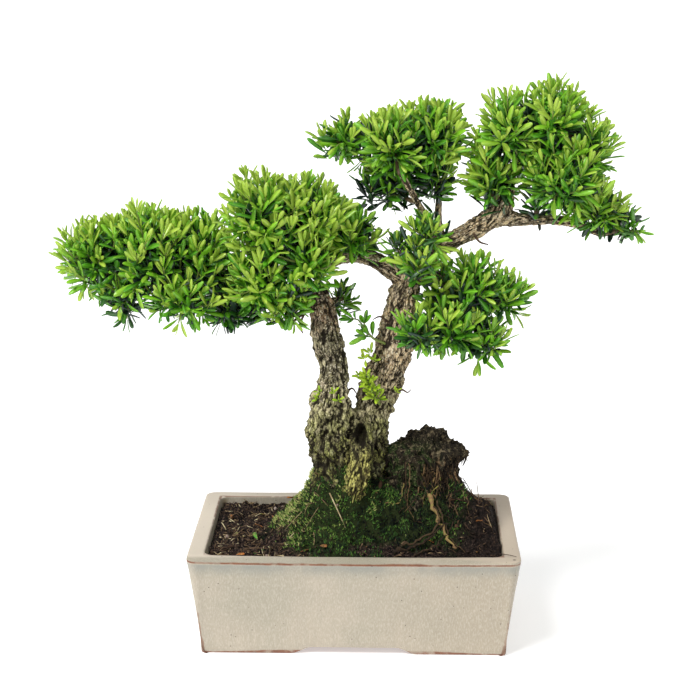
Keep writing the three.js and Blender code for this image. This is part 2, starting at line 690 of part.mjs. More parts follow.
const box = new THREE.Box3();
for (const { solid } of pieces) {
  const { min, max } = solid.boundingBox();
  box.expandByPoint(vector(...min)).expandByPoint(vector(...max));
}
const toOrigin = vector(-(box.min.x + box.max.x) / 2, -(box.min.y + box.max.y) / 2, -box.min.z);

const tree = new THREE.Group();
for (const { name, solid, colour, roughness } of pieces) {
  const moved = mainBody(solidOf(geometryOf(solid).translate(...toOrigin)));
  tree.add(meshOf(name, moved, colour, roughness));
}

export default tree;
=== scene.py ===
# %% [markdown]
# # A harland boxwood bonsai
# The object is an old boxwood with two trunks, trained as a bonsai. It stands on a mossy mound beside a
# dead stump, in a rectangular stoneware pot with a cream glaze. The imported model holds every piece at its
# real size as a plain solid. This script gives each piece its real surface: fissured bark, moss, crumbly
# soil, glaze, and more than eleven thousand small leaves. First the imported model is loaded.

# %% Load the imported model
import itertools
import math

import bpy
import numpy as np
from mathutils import Matrix, Vector


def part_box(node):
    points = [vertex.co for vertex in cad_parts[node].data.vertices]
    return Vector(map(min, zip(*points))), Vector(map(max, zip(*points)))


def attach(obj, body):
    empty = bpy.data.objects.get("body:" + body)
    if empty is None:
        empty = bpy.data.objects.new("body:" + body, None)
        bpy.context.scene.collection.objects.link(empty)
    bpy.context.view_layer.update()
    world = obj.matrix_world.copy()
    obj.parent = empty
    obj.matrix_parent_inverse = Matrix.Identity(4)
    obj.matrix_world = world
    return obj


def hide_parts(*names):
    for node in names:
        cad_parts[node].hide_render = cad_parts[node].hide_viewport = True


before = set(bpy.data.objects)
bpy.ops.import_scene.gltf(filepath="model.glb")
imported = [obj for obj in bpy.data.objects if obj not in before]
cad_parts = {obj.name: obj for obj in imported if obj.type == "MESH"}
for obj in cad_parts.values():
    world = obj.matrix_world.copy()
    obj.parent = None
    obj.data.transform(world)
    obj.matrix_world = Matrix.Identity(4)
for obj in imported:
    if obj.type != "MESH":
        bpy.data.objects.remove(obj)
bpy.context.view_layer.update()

# %% [markdown]
# ## Units and place
# All shapes below are worked out in millimetres from the middle of the pot's foot, the way a potter or a
# grower would measure them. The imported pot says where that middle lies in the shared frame, so nothing has
# to be fitted by hand.

# %% Millimetres from the middle of the pot's foot
MM = 0.001
pot_low, pot_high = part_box("pot")
POT_MIDDLE = np.array([(pot_low.x + pot_high.x) / 2, (pot_low.y + pot_high.y) / 2, pot_low.z]) / MM
POT_SIZE = np.array(pot_high - pot_low) / MM
print("pot middle, mm:", POT_MIDDLE.round(2), "pot size, mm:", POT_SIZE.round(2))

# %% [markdown]
# ## Putting a computed surface into Blender
# Blender can build meshes by operators, by bmesh, or from arrays. Arrays are by far the fastest here,
# because whole surfaces are computed at once with numpy. `new_piece` takes a skin, which is points and
# faces with three or four corners, and any number of named values per point, which the materials read later
# as attributes.

# %% Mesh from arrays
def new_piece(name, skin, values=None, smooth=True):
    """A mesh object at the origin. A skin is an array of points, in millimetres from the pot's middle, and
    after it one or more arrays of faces, with a column for each corner."""
    points, *faces = skin
    loops = np.concatenate([part.ravel() for part in faces]).astype(np.int32)
    corners = np.concatenate([np.full(len(part), part.shape[1]) for part in faces])
    starts = np.concatenate([[0], np.cumsum(corners)[:-1]]).astype(np.int32)
    mesh = bpy.data.meshes.new(name)
    mesh.vertices.add(len(points))
    mesh.vertices.foreach_set("co", ((points + POT_MIDDLE) * MM).astype(np.float32).ravel())
    mesh.loops.add(len(loops))
    mesh.loops.foreach_set("vertex_index", loops)
    mesh.polygons.add(len(corners))
    mesh.polygons.foreach_set("loop_start", starts)
    mesh.polygons.foreach_set("use_smooth", np.full(len(corners), smooth))
    mesh.update(calc_edges=True)
    for key, value in (values or {}).items():
        attribute = mesh.attributes.new(key, "FLOAT", "POINT")
        attribute.data.foreach_set("value", np.asarray(value, np.float32).ravel())
    piece = bpy.data.objects.new(name, mesh)
    bpy.context.scene.collection.objects.link(piece)
    return piece


def surface_of(mesh):
    """A mesh's points, in millimetres from the pot's middle, and its outward normals."""
    place, normal = np.empty((2, len(mesh.vertices) * 3), np.float32)
    mesh.vertices.foreach_get("co", place)
    mesh.vertex_normals.foreach_get("vector", normal)
    return place.reshape(-1, 3).astype(float) / MM - POT_MIDDLE, normal.reshape(-1, 3).astype(float)


def finished(piece, finish, slot, *nodes):
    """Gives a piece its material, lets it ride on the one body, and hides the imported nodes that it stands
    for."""
    piece.data.materials.append(finish)
    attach(piece, "root")
    if nodes:
        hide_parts(*nodes)
    piece.data.calc_loop_triangles()
    print(piece.name, "triangles:", len(piece.data.loop_triangles))


# %% [markdown]
# ## Skins: the one shape that everything is made of
# A twig, a leaf, a blade of moss and a pebble are all the same thing: a few rings of points, joined into a
# tube and closed by a point at either end. `skins` joins any number of them at once. The points of a ring
# run anticlockwise when seen from the far end, so that the faces look outwards.

# %% Closed skins over rings
def unit(vectors):
    """Vectors of length one in the same directions."""
    return vectors / np.maximum(np.linalg.norm(vectors, axis=-1, keepdims=True), 1e-9)


def grid_faces(rows, columns):
    """Four-cornered faces between neighbours of a grid whose last column joins the first."""
    row, column = np.mgrid[0:rows - 1, 0:columns]
    low, high, beside = row * columns, (row + 1) * columns, (column + 1) % columns
    return np.stack([low + column, low + beside, high + beside, high + column], -1).reshape(-1, 4)


def skins(rings, ends):
    """Closed skins. rings is skins x stations x sides x 3, and ends is skins x 2 x 3, the points that close
    them."""
    count, stations, sides, _ = rings.shape
    points = np.concatenate([rings.reshape(count, -1, 3), ends], 1)
    around = np.arange(sides)
    beside = (around + 1) % sides
    last_ring = (stations - 1) * sides
    first = np.full(sides, stations * sides)
    fans = np.concatenate([
        np.stack([first, beside, around], -1),
        np.stack([first + 1, last_ring + around, last_ring + beside], -1),
    ])
    shift = (np.arange(count) * points.shape[1])[:, None, None]
    quads = (grid_faces(stations, sides) + shift).reshape(-1, 4)
    return points.reshape(-1, 3), quads, (fans + shift).reshape(-1, 3)


def together(parts):
    """Several skins as one: each skin's faces count on from the points before it."""
    starts = np.cumsum([0] + [len(part[0]) for part in parts])
    faces = [np.concatenate([part[i] + start for part, start in zip(parts, starts)]) for i in (1, 2)]
    return np.concatenate([part[0] for part in parts]), *faces


def grown(parts):
    """Several (skin, values) pairs as one pair."""
    values = {key: np.concatenate([part[1][key] for part in parts]) for key in parts[0][1]}
    return together([part[0] for part in parts]), values


def toned(skin, tones):
    """A set of equal skins, and for each of its points the tone of the skin that it belongs to."""
    return skin, {"tone": np.repeat(tones, len(skin[0]) // len(tones))}


# %% Tubes along lines
def sections(centres):
    """Each line's own direction at each station, and two directions square to it: a fixed axis with the
    line's direction taken out of it, and the cross product of the two."""
    tangent = unit(np.gradient(centres, axis=1))
    axis = np.eye(3)[np.abs(tangent).mean(1).argmin(-1)][:, None, :]
    side = unit(axis - tangent * (tangent * axis).sum(-1, keepdims=True))
    return tangent, side, np.cross(tangent, side)


def square_to(axes):
    """Two directions square to each axis and to each other."""
    helper = np.where(np.abs(axes[:, 2:]) < 0.9, [[0.0, 0.0, 1.0]], [[1.0, 0.0, 0.0]])
    side = unit(np.cross(axes, helper))
    return side, np.cross(axes, side)


def spokes(angle, side, third):
    """cos a x side + sin a x third for each angle a."""
    return np.cos(angle)[..., None] * side + np.sin(angle)[..., None] * third


def round_angles(sides):
    return np.arange(sides) / sides * 2 * np.pi


def tube_rings(centres, radii, sides):
    """Rings round lines: centre + radius x spoke, for each of the sides' angles."""
    _, side, third = sections(centres)
    spoke = spokes(round_angles(sides), side[:, :, None, :], third[:, :, None, :])
    return centres[:, :, None, :] + radii[:, :, None, None] * spoke


def tubes(centres, radii, sides):
    """Closed round tubes along lines of stations. centres is lines x stations x 3 and radii is lines x
    stations."""
    return skins(tube_rings(centres, radii, sides), centres[:, [0, -1]])


def bent_lines(start, bend, end, stations):
    """Curves from start to end, pulled towards the bend: (1-t)^2 start + 2t(1-t) bend + t^2 end."""
    t = np.linspace(0, 1, stations)[None, :, None]
    return (1 - t) ** 2 * start[:, None] + 2 * t * (1 - t) * bend[:, None] + t ** 2 * end[:, None]


# %% Smooth lines through stations
def length_along(line):
    """How far along a line each of its points lies."""
    return np.concatenate([[0], np.cumsum(np.linalg.norm(np.diff(line, axis=0), axis=1))])


def smooth_run(stations, step):
    """Catmull-Rom: each stretch is the cubic whose ends are two stations and whose slopes follow the
    stations beside them. Every column, the radius too, is treated alike."""
    knots = np.array(stations, float)
    padded = np.vstack([2 * knots[0] - knots[1], knots, 2 * knots[-1] - knots[-2]])
    reached = length_along(knots[:, :3])
    count = max(4, int(math.ceil(reached[-1] / step)) + 1)
    along = np.interp(np.linspace(0, reached[-1], count), reached, np.arange(len(knots)))
    low = np.minimum(along.astype(int), len(knots) - 2)
    t = (along - low)[:, None]
    before, start, end, after = (padded[low + i] for i in range(4))
    cubic = (-before + 3 * start - 3 * end + after) * t ** 3
    square = (2 * before - 5 * start + 4 * end - after) * t ** 2
    return 0.5 * (2 * start + (end - before) * t + square + cubic)


# %% [markdown]
# ## Unevenness
# Nothing on a tree is even. Two patterns do most of the work. Smooth noise rises and falls gently, for
# lumps and slopes. Cell noise splits space into cells round scattered points, and the thin gap between two
# cells is a crack: that is how bark plates and soil crumbs are made. Both are worked out for all points at
# once from a scrambled whole number, so they are the same on each run.

# %% Smooth noise
def scramble(cells, seed):
    """A repeatable random 32-bit number for each whole-numbered cell: products and shifts of its three
    numbers."""
    x, y, z = (cells[..., i].astype(np.int64).astype(np.uint32) for i in range(3))
    mixed = x * np.uint32(0x9E3779B1) ^ y * np.uint32(0x85EBCA77) ^ z * np.uint32(0xC2B2AE3D)
    mixed = mixed + np.uint32(seed * 7919)
    for shift, factor in ((15, 0x2C1B3C6D), (12, 0x297A2D39), (15, 0x1B873593)):
        mixed = (mixed ^ (mixed >> np.uint32(shift))) * np.uint32(factor)
    return mixed ^ (mixed >> np.uint32(16))


def digits(mixed, bits):
    """Three random whole numbers of that many bits, cut out of each scrambled one."""
    return np.stack([(mixed >> np.uint32(bits * i)) & np.uint32(2 ** bits - 1) for i in range(3)], -1)


def smooth_noise(points, size, seed):
    """From about -1 to 1: each corner of a cell has a random slope, and the slopes are blended across the
    cell."""
    place = points / size
    cell = np.floor(place)
    inside = place - cell
    fade = inside ** 3 * (inside * (inside * 6 - 15) + 10)
    total = np.zeros(len(points))
    for corner in itertools.product((0, 1), repeat=3):
        slope = digits(scramble(cell + corner, seed), 8) / 127.5 - 1
        weight = np.where(corner, fade, 1 - fade).prod(-1)
        total += weight * ((inside - corner) * slope).sum(-1)
    return total * 1.5


def rough_noise(points, size, octaves, seed):
    """Smooth noise, plus the same at half the size and half the strength, and so on."""
    return sum(smooth_noise(points, size / 2 ** i, seed + i) / 2 ** i for i in range(octaves))


def drift(points, size, seed):
    """Three smooth noises side by side, as a shift of each point."""
    return np.stack([smooth_noise(points, size, seed + i) for i in range(3)], -1)


# %% Cell noise and easing
def cell_noise(points, size, seed):
    """How far a point is from the crack between two cells, 0 in it and about 1 in the middle, and a random
    number for its cell: the second nearest of the scattered points' distances, less the nearest."""
    place = points / size
    cell = np.floor(place)
    near = np.full(len(points), 9.0)
    second = near.copy()
    owner = np.zeros(len(points))
    for step in itertools.product((-1, 0, 1), repeat=3):
        mixed = scramble(cell + step, seed)
        distance = np.linalg.norm(cell + step + digits(mixed, 10) / 1023 - place, axis=-1)
        closer = distance < near
        second = np.where(closer, near, np.minimum(second, distance))
        owner = np.where(closer, (mixed & np.uint32(255)) / 255, owner)
        near = np.where(closer, distance, near)
    return second - near, owner


def ease(values, start, end):
    """0 before start, 1 after end, and a smooth S between them."""
    share = np.clip((values - start) / (end - start), 0, 1)
    return share * share * (3 - 2 * share)


# %% [markdown]
# ## Shader maths as Python
# Materials are node trees. Written node by node they are long and hard to read, so a small class wraps a
# number socket and lets Python's operators add the Math nodes. Any other node comes from `node`, which
# takes its kind, its settings and what goes into its sockets.

# %% Wire, a number socket
class Wire:
    """A number socket of a finish. Arithmetic on it adds Math nodes."""

    def __init__(self, finish, socket):
        self.finish = finish
        self.socket = socket

    def maths(self, operation, first, second, clamp=False):
        settings = {"operation": operation, "use_clamp": clamp}
        made = self.finish.node("ShaderNodeMath", settings, {0: first, 1: second})
        return Wire(self.finish, made.outputs[0])

    def __add__(self, other):
        return self.maths("ADD", self, other)

    __radd__ = __add__

    def __sub__(self, other):
        return self.maths("SUBTRACT", self, other)

    def __rsub__(self, other):
        return self.maths("SUBTRACT", other, self)

    def __mul__(self, other):
        return self.maths("MULTIPLY", self, other)

    __rmul__ = __mul__

    def __abs__(self):
        return self.maths("ABSOLUTE", self, 0)

    def clamped(self):
        return self.maths("ADD", self, 0.0, clamp=True)

    def between(self, start, end):
        """0 below start, 1 above end, a smooth step between."""
        sockets = {"Value": self, "From Min": start, "From Max": end}
        made = self.finish.node("ShaderNodeMapRange", {"interpolation_type": "SMOOTHSTEP"}, sockets)
        return Wire(self.finish, made.outputs[0])


# %% Finish, a material
def srgb(red, green, blue):
    """A colour as a painter reads it off a screen, 0 to 255, turned into the linear light that shaders
    use."""
    share = np.array([red, green, blue]) / 255
    linear = np.where(share < 0.04045, share / 12.92, ((share + 0.055) / 1.055) ** 2.4)
    return (*linear.tolist(), 1.0)


class Finish:
    """A material with one Principled shader, and short ways to add nodes to it. Colours are red, green and
    blue from 0 to 255, or the sockets of other nodes."""

    def __init__(self, name, **constants):
        self.material = bpy.data.materials.new(name)
        self.material.use_nodes = True
        self.tree = self.material.node_tree
        self.shader = self.tree.nodes["Principled BSDF"]
        self.output = self.tree.nodes["Material Output"]
        self.place = self.node("ShaderNodeTexCoord", {}, {}).outputs["Object"]
        for socket, value in constants.items():
            self.shader.inputs[socket.replace("_", " ")].default_value = value

    def node(self, kind, settings, sockets):
        """Adds a node: settings first, among them a ramp's stops, then values and links for its inputs."""
        made = self.tree.nodes.new(kind)
        for key, value in settings.items():
            if key == "stops":
                elements = made.color_ramp.elements
                while len(elements) < len(value):
                    elements.new(0.5)
                for element, (position, tint) in zip(elements, value):
                    element.position = position
                    element.color = srgb(*tint)
            else:
                setattr(made, key, value)
        for key, value in sockets.items():
            source = value.socket if isinstance(value, Wire) else value
            if isinstance(source, bpy.types.NodeSocket):
                self.tree.links.new(source, made.inputs[key])
            else:
                made.inputs[key].default_value = source
        return made

    def value(self, name):
        """A named value of the piece's points."""
        return Wire(self, self.node("ShaderNodeAttribute", {"attribute_name": name}, {}).outputs["Fac"])

    def axis(self, name):
        """One of the object's X, Y or Z, in millimetres from the pot's middle."""
        split = self.node("ShaderNodeSeparateXYZ", {}, {0: self.place}).outputs[name]
        return Wire(self, split) * (1 / MM) - POT_MIDDLE["XYZ".index(name)]

    def scaled(self, vector, x, y, z):
        """A vector with each axis scaled, for grain that runs along one of them."""
        made = self.node("ShaderNodeVectorMath", {"operation": "MULTIPLY"}, {0: vector, 1: (x, y, z)})
        return made.outputs[0]

    def upright(self, z):
        """The object's place, squeezed in height, which draws a noise out into upright streaks."""
        return self.node("ShaderNodeMapping", {}, {"Vector": self.place, "Scale": (1, 1, z)}).outputs[0]

    def noise(self, size, detail, place=None):
        """Cloudy noise from 0 to 1 whose lumps are that many millimetres wide."""
        sockets = {"Vector": place or self.place, "Scale": 1 / (size * MM), "Detail": detail}
        return Wire(self, self.node("ShaderNodeTexNoise", {}, sockets).outputs["Fac"])

    def cells(self, size):
        """Distance from scattered points, in cells that many millimetres wide."""
        sockets = {"Vector": self.place, "Scale": 1 / (size * MM)}
        return Wire(self, self.node("ShaderNodeTexVoronoi", {}, sockets).outputs["Distance"])

    def ramp(self, value, *stops):
        """A colour from a value, through (position, colour) stops."""
        return self.node("ShaderNodeValToRGB", {"stops": stops}, {0: value}).outputs[0]

    def mix(self, share, first, second):
        """The first colour where share is 0, the second where it is 1."""
        first, second = (srgb(*tint) if isinstance(tint, tuple) else tint for tint in (first, second))
        return self.node("ShaderNodeMix", {"data_type": "RGBA"}, {0: share, 6: first, 7: second}).outputs[2]

    def coats(self, colour, *coats):
        """Coats of colour laid over one another: each is a share from 0 to 1 and a colour."""
        for share, tint in coats:
            colour = self.mix(share, colour, tint)
        return colour

    def colour(self, socket):
        self.tree.links.new(socket, self.shader.inputs["Base Color"])

    def roughness(self, wire):
        self.tree.links.new(wire.socket, self.shader.inputs["Roughness"])

    def bump(self, wire, height):
        """Small relief: a value of 1 stands that many millimetres above a value of 0."""
        made = self.node("ShaderNodeBump", {}, {"Height": wire, "Distance": height * MM, "Strength": 1.0})
        self.tree.links.new(made.outputs[0], self.shader.inputs["Normal"])


# %% [markdown]
# ## Pot
# The pot is slab-built stoneware: straight walls that lean out a little, a flat lip as wide as a thumb, and
# four feet left by two shallow arches. A cube with bevels would look machined. Here the whole pot is one
# profile carried round a rounded rectangle: under the floor, up the outside, over the lip, down the inside
# and back across the floor. A few tenths of a millimetre of slow noise make the walls slightly wavy, as
# hand work is.

# %% Pot sizes
POT_LENGTH, POT_DEPTH, POT_HEIGHT = POT_SIZE
FOOT_INSET = 10.8
LIP_WIDTH = 14.0
LIP_ROUND = 1.8
LIP_SLOPE = 2.2
RIM_FLARE = 0.015
WALL_TAPER_INSIDE = 9.0
CORNER_RADIUS = 9.0
FLOOR_TOP = 14.0
FOOT_HEIGHT = 5.5
FOOT_ROUND = 1.2
FOOT_CORNER_ROUND = 3.6
FRONT_ARCH_LENGTH = 102.0
SIDE_ARCH_LENGTH = 62.0
ARCH_RUN = 16.0
DRAIN_HOLE_RADIUS = 9.0
DRAIN_HOLE_X = 62.0
PANEL_MARGIN = 8.0
PANEL_EDGE = 5.0
PANEL_DEPTH = 0.9
OUTLINE_POINTS = 320
UNDER_RINGS, WALL_RINGS, INSIDE_RINGS = 24, 26, 9


# %% Rounded rectangle and underside
def rounded_outline(share, half_length, half_depth, radius):
    """Points of a rectangle with round corners, and the directions out of it, at shares 0 to 1 of its
    length round. Four straights and four quarter circles follow one another from the middle of the right
    side, anticlockwise."""
    high, wide = half_depth - radius, half_length - radius
    arc = radius * np.pi / 2
    runs = np.array([high, arc, 2 * wide, arc, 2 * high, arc, 2 * wide, arc, high])
    ends = np.concatenate([[0], np.cumsum(runs)])
    along = share * ends[-1]
    run = np.clip(np.searchsorted(ends, along, side="right") - 1, 0, 8)
    into = along - ends[run]
    turned = np.where(run % 2 == 1, into / radius, 0) + (run // 2) * np.pi / 2
    x = np.select([run <= 1, run == 2, run <= 5, run == 6], [wide, wide - into, -wide, -wide + into], wide)
    y = np.select([run == 0, run <= 3, run == 4, run <= 7], [into, high, high - into, -high], -high + into)
    normal = np.stack([np.cos(turned), np.sin(turned)], -1)
    return np.stack([x, y], -1) + radius * normal, normal


def arch_height(outline):
    """Height of the pot's underside: two crossing arches with S-shaped ends, and 0 on the four feet."""
    x, y = np.abs(outline.T)
    front = ease(FRONT_ARCH_LENGTH / 2 - x, 0, ARCH_RUN)
    side = ease(SIDE_ARCH_LENGTH / 2 - y, 0, ARCH_RUN)
    return FOOT_HEIGHT * np.maximum(front, side)


def ring_at(outline, height):
    """An outline of x and y with a height, one number or one for each point, put beside it."""
    return np.column_stack([outline, np.broadcast_to(height, len(outline))])


# %% Pot surface
def pot_surface():
    """Rings from the middle of the underside, round the pot, to the middle of the floor inside. Each ring
    is an outline set in from the rim's by an amount, at a height; the rings below the wall follow the
    arches."""
    share = np.arange(OUTLINE_POINTS) / OUTLINE_POINTS
    half_length, half_depth = POT_LENGTH / 2, POT_DEPTH / 2
    rim, normal = rounded_outline(share, half_length, half_depth, CORNER_RADIUS)
    inner, inward = rounded_outline(share, half_length - LIP_WIDTH, half_depth - LIP_WIDTH, CORNER_RADIUS)
    foot = rim - normal * FOOT_INSET
    under = arch_height(foot)
    quarter = np.linspace(0, 1, 4) * np.pi / 2
    shrinks = np.linspace(0.05, 0.95, UNDER_RINGS)
    rings = [ring_at(foot * shrink, arch_height(foot * shrink)) for shrink in shrinks]
    beside = np.maximum(half_length - np.abs(rim[:, 0]), half_depth - np.abs(rim[:, 1]))
    sole_round = FOOT_ROUND + FOOT_CORNER_ROUND * (1 - ease(beside, 3, 12))
    for angle in quarter:
        edge = foot - normal * (sole_round * (1 - np.sin(angle)))[:, None]
        rings.append(ring_at(edge, under + sole_round * (1 - np.cos(angle))))
    for rise in np.linspace(0.03, 1, WALL_RINGS):
        height = under + sole_round + (POT_HEIGHT - LIP_ROUND - under - sole_round) * rise
        panel = ease(beside, PANEL_MARGIN, PANEL_MARGIN + PANEL_EDGE)
        panel = panel * ease(POT_HEIGHT - height, 3, 7) * ease(height, 9, 15)
        reach = FOOT_INSET * (1 - height / POT_HEIGHT) + PANEL_DEPTH * panel
        rings.append(ring_at(rim - normal * reach[:, None], height))
    for angle in quarter[1:]:
        edge = rim - normal * LIP_ROUND * (1 - np.cos(angle))
        rings.append(ring_at(edge, POT_HEIGHT - LIP_ROUND * (1 - np.sin(angle))))
    outer_edge, inner_edge = rim - normal * LIP_ROUND, inner + inward * LIP_ROUND
    for across in (0.25, 0.5, 0.75):
        rings.append(ring_at(outer_edge + (inner_edge - outer_edge) * across, POT_HEIGHT))
    for angle in quarter:
        edge = inner + inward * LIP_ROUND * (1 - np.sin(angle))
        rings.append(ring_at(edge, POT_HEIGHT - LIP_ROUND * (1 - np.cos(angle))))
    for drop in np.linspace(0.08, 1, INSIDE_RINGS):
        height = POT_HEIGHT - LIP_ROUND - (POT_HEIGHT - LIP_ROUND - FLOOR_TOP) * drop
        rings.append(ring_at(inner - inward * WALL_TAPER_INSIDE * drop, height))
    floor = rings[-1][:, :2]
    rings += [ring_at(floor * shrink, FLOOR_TOP) for shrink in (0.96, 0.7, 0.4, 0.05)]
    ends = np.array([[0, 0, FOOT_HEIGHT], [0, 0, FLOOR_TOP]])
    return np.array(rings)[None], ends[None]


# %% Uneven by hand
def flared(points):
    """The walls were pressed out by hand: near the rim, and more at the front than at the back, the pot is
    wider. The rim hangs a little at the front, most in the middle, and its front lip slopes down
    outwards."""
    up = np.clip(points[:, 2] / POT_HEIGHT, 0, 1) ** 2
    side = points[:, 0] / (POT_LENGTH / 2)
    front = (POT_DEPTH / 2 - points[:, 1]) / POT_DEPTH
    wide = points[:, 0] * (1 + RIM_FLARE * up * (0.35 + 0.65 * front))
    slope = ease(-points[:, 1], POT_DEPTH / 2 - LIP_WIDTH, POT_DEPTH / 2) * (1 - 0.85 * ease(side, 0.4, 1.0))
    drop = up * (front * (1.2 - 0.8 * side ** 2) + LIP_SLOPE * slope)
    return np.column_stack([wide, points[:, 1], points[:, 2] - drop])


def hand_made(points):
    """Slow waves of a few tenths of a millimetre, none on the soles of the feet."""
    wave = drift(points, 60, 1) * (0.45, 0.45, 0.5)
    ripple = smooth_noise(points, 13, 4)[:, None] * 0.14
    off_sole = ease(points[:, 2], 0.4, 3)[:, None]
    return flared(points) + (wave + ripple) * off_sole * (1, 1, 0.8)


pot_points, *pot_faces = skins(*pot_surface())
pot = new_piece("pot_body", (hand_made(pot_points), *pot_faces))

# %% [markdown]
# The two drain holes go through the floor. A Boolean cut is the plain way: two round cutters are taken out
# of the pot and deleted. The cut is applied at once, so the finished mesh has the holes in it.

# %% Drain holes
def evaluated_mesh(piece):
    """The piece's mesh with its modifiers applied, as a new mesh."""
    graph = bpy.context.evaluated_depsgraph_get()
    return bpy.data.meshes.new_from_object(piece.evaluated_get(graph))


def cut_holes(piece):
    lines = np.array([[[x, 0, -3], [x, 0, FLOOR_TOP + 6]] for x in (-DRAIN_HOLE_X, DRAIN_HOLE_X)], float)
    cutter = new_piece("hole_cutter", tubes(lines, np.full((2, 2), DRAIN_HOLE_RADIUS), 32))
    cut = piece.modifiers.new("Holes", "BOOLEAN")
    cut.operation = "DIFFERENCE"
    cut.object = cutter
    cut.solver = "EXACT"
    piece.data = evaluated_mesh(piece)
    piece.modifiers.clear()
    bpy.data.objects.remove(cutter)


cut_holes(pot)
print("pot faces after the cut:", len(pot.data.polygons))

# %% [markdown]
# ### Glaze
# The glaze is a cream matt one. It is thicker and greyer in a band under the rim, and breaks to warm clay
# where it is thin, on the edge of the lip, the upright corners and the foot line. It carries paler and
# darker mottling, one pin hole and a few iron specks, and faint streaks that ran down. Light and shade are
# painted in as well: the top of the lip is painted paler as painted light from above, most at the left
# where the main light falls, the walls are painted darker towards the right as painted shade, and the
# inside wall below the lip is painted dark brown as painted shade. All of it is worked out from where a
# point lies on the pot, as how far out it is past the leaning wall and how far below the rim.

# %% Glaze finish
PIN_HOLE = (130.0, -88.0)
CLAY_LINE_DROP = 3.2


def glaze_finish():
    glaze = Finish("cream_glaze", Roughness=0.42, Coat_Weight=0.25, Coat_Roughness=0.25)
    x, y, z = (glaze.axis(name) for name in "XYZ")
    lean = (1 - z * (1 / POT_HEIGHT)) * FOOT_INSET
    out_x = abs(x) * (1 - 0.008 * z * (1 / POT_HEIGHT)) - POT_LENGTH / 2 + lean
    out_y = abs(y) - POT_DEPTH / 2 + lean
    outer = out_x.maths("MAXIMUM", out_x, out_y)
    down = z - POT_HEIGHT
    ragged = (glaze.noise(7, 3) - 0.5) * 2.4
    streak = glaze.noise(5, 3, glaze.upright(0.12))
    speckle = glaze.noise(0.9, 3, glaze.upright(0.3))
    worn = glaze.noise(12, 3).between(0.36, 0.5)
    band = (down + ragged * 2).between(-18, -5) * (1 - (down + ragged * 0.5).between(-5.4, -4.2))
    patchy = glaze.noise(30, 3, glaze.upright(0.4)).between(0.35, 0.6)
    grey = band * outer.between(-3.2, -0.9) * (0.45 + 0.55 * patchy)
    lip = down.between(-1.6, -0.5)
    level = down + ragged * 0.35 + CLAY_LINE_DROP - 0.8 * (x * x) * (1 / POT_LENGTH ** 2) * 4
    front_edge = level.between(-1.8, -1.1) * (1 - level.between(-0.5, 0.1)) * (1 - y.between(-90, -80))
    corner = (out_x + out_y + ragged * 1.4).between(-2.6, -1.4) * (0.35 + 0.65 * worn)
    near_arch = 1 - abs(x).between(60, 110)
    foot_line = 1 - (z + ragged * 0.6 - 1.8 * near_arch).between(0.9, 2.0)
    past_lip = outer.between(-LIP_WIDTH + 0.6, -LIP_WIDTH + 2)
    inner_edge = outer.between(-LIP_WIDTH - 1.6, -LIP_WIDTH - 0.4) * (1 - past_lip)
    bare = (front_edge * (0.55 + 0.45 * worn) + corner * 0.7 + inner_edge * lip * worn * 0.8).clamped()
    inside = (1 - outer.between(-LIP_WIDTH - 2, -LIP_WIDTH)) * (1 - down.between(-3.5, -1.5))
    # Painted shade: the inside wall below the lip, down to the soil, is painted dark brown.
    inner_wall_shade = inside * (1 - (down + ragged).between(-6.0, -4.0))
    off_x, off_y = x - PIN_HOLE[0], y - PIN_HOLE[1]
    pin = (1 - (off_x * off_x + off_y * off_y).between(1.0, 2.4)) * lip
    specks = ((1 - glaze.cells(8).between(0.035, 0.075)) + pin).clamped()
    under = (1 - z.between(FOOT_HEIGHT - 0.4, FOOT_HEIGHT + 0.8)) * (1 - outer.between(-3.0, -1.5))
    # Painted light: the top of the lip is painted paler than the walls, as if lit from above, and paler at
    # the left, where the main light falls, than at the right.
    cream = glaze.mix(x.between(-110, 120), (222, 209, 191), (196, 180, 160))
    clay = glaze.mix(glaze.noise(4, 3), (92, 54, 38), (150, 98, 70))
    base = glaze.mix(glaze.noise(55, 2).between(0.35, 0.7), (179, 168, 150), (167, 159, 141))
    glaze.colour(glaze.coats(
        base,
        # Painted shade: the walls are painted darker towards the right, away from the main light.
        (x.between(-20, 130) * 0.55, (166, 152, 131)),
        (streak.between(0.42, 0.7) * 0.22, (160, 151, 134)),
        (speckle.between(0.42, 0.72) * 0.34, (214, 206, 190)),
        (glaze.noise(0.9, 1).between(0.58, 0.72) * 0.22, (128, 119, 104)),
        (grey * 0.8, (140, 142, 134)),
        # Painted light on the top of the lip.
        (lip * 0.9, cream),
        (bare, clay),
        (foot_line * (0.4 + 0.6 * worn), clay),
        (inside * 0.7, (176, 154, 124)),
        # Painted shade on the inside wall below the lip.
        (inner_wall_shade * 0.8, (72, 54, 40)),
        (specks * 0.85, (62, 48, 38)),
        (under, clay),
    ))
    glaze.roughness(0.4 + 0.3 * bare + 0.1 * streak)
    glaze.bump(speckle * 0.5 + glaze.noise(6, 3) * 0.9 - specks * 0.8 - bare * 0.4, 0.28)
    return glaze.material


finished(pot, glaze_finish(), "pot_glaze", "pot")

# %% [markdown]
# ## The lines that the wood follows
# Each trunk, limb and root follows stations of x, y, height and radius, in millimetres. They lie within a
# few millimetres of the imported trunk's own; only the thin upright branch comes further forward. A
# Catmull-Rom curve runs smoothly through them.

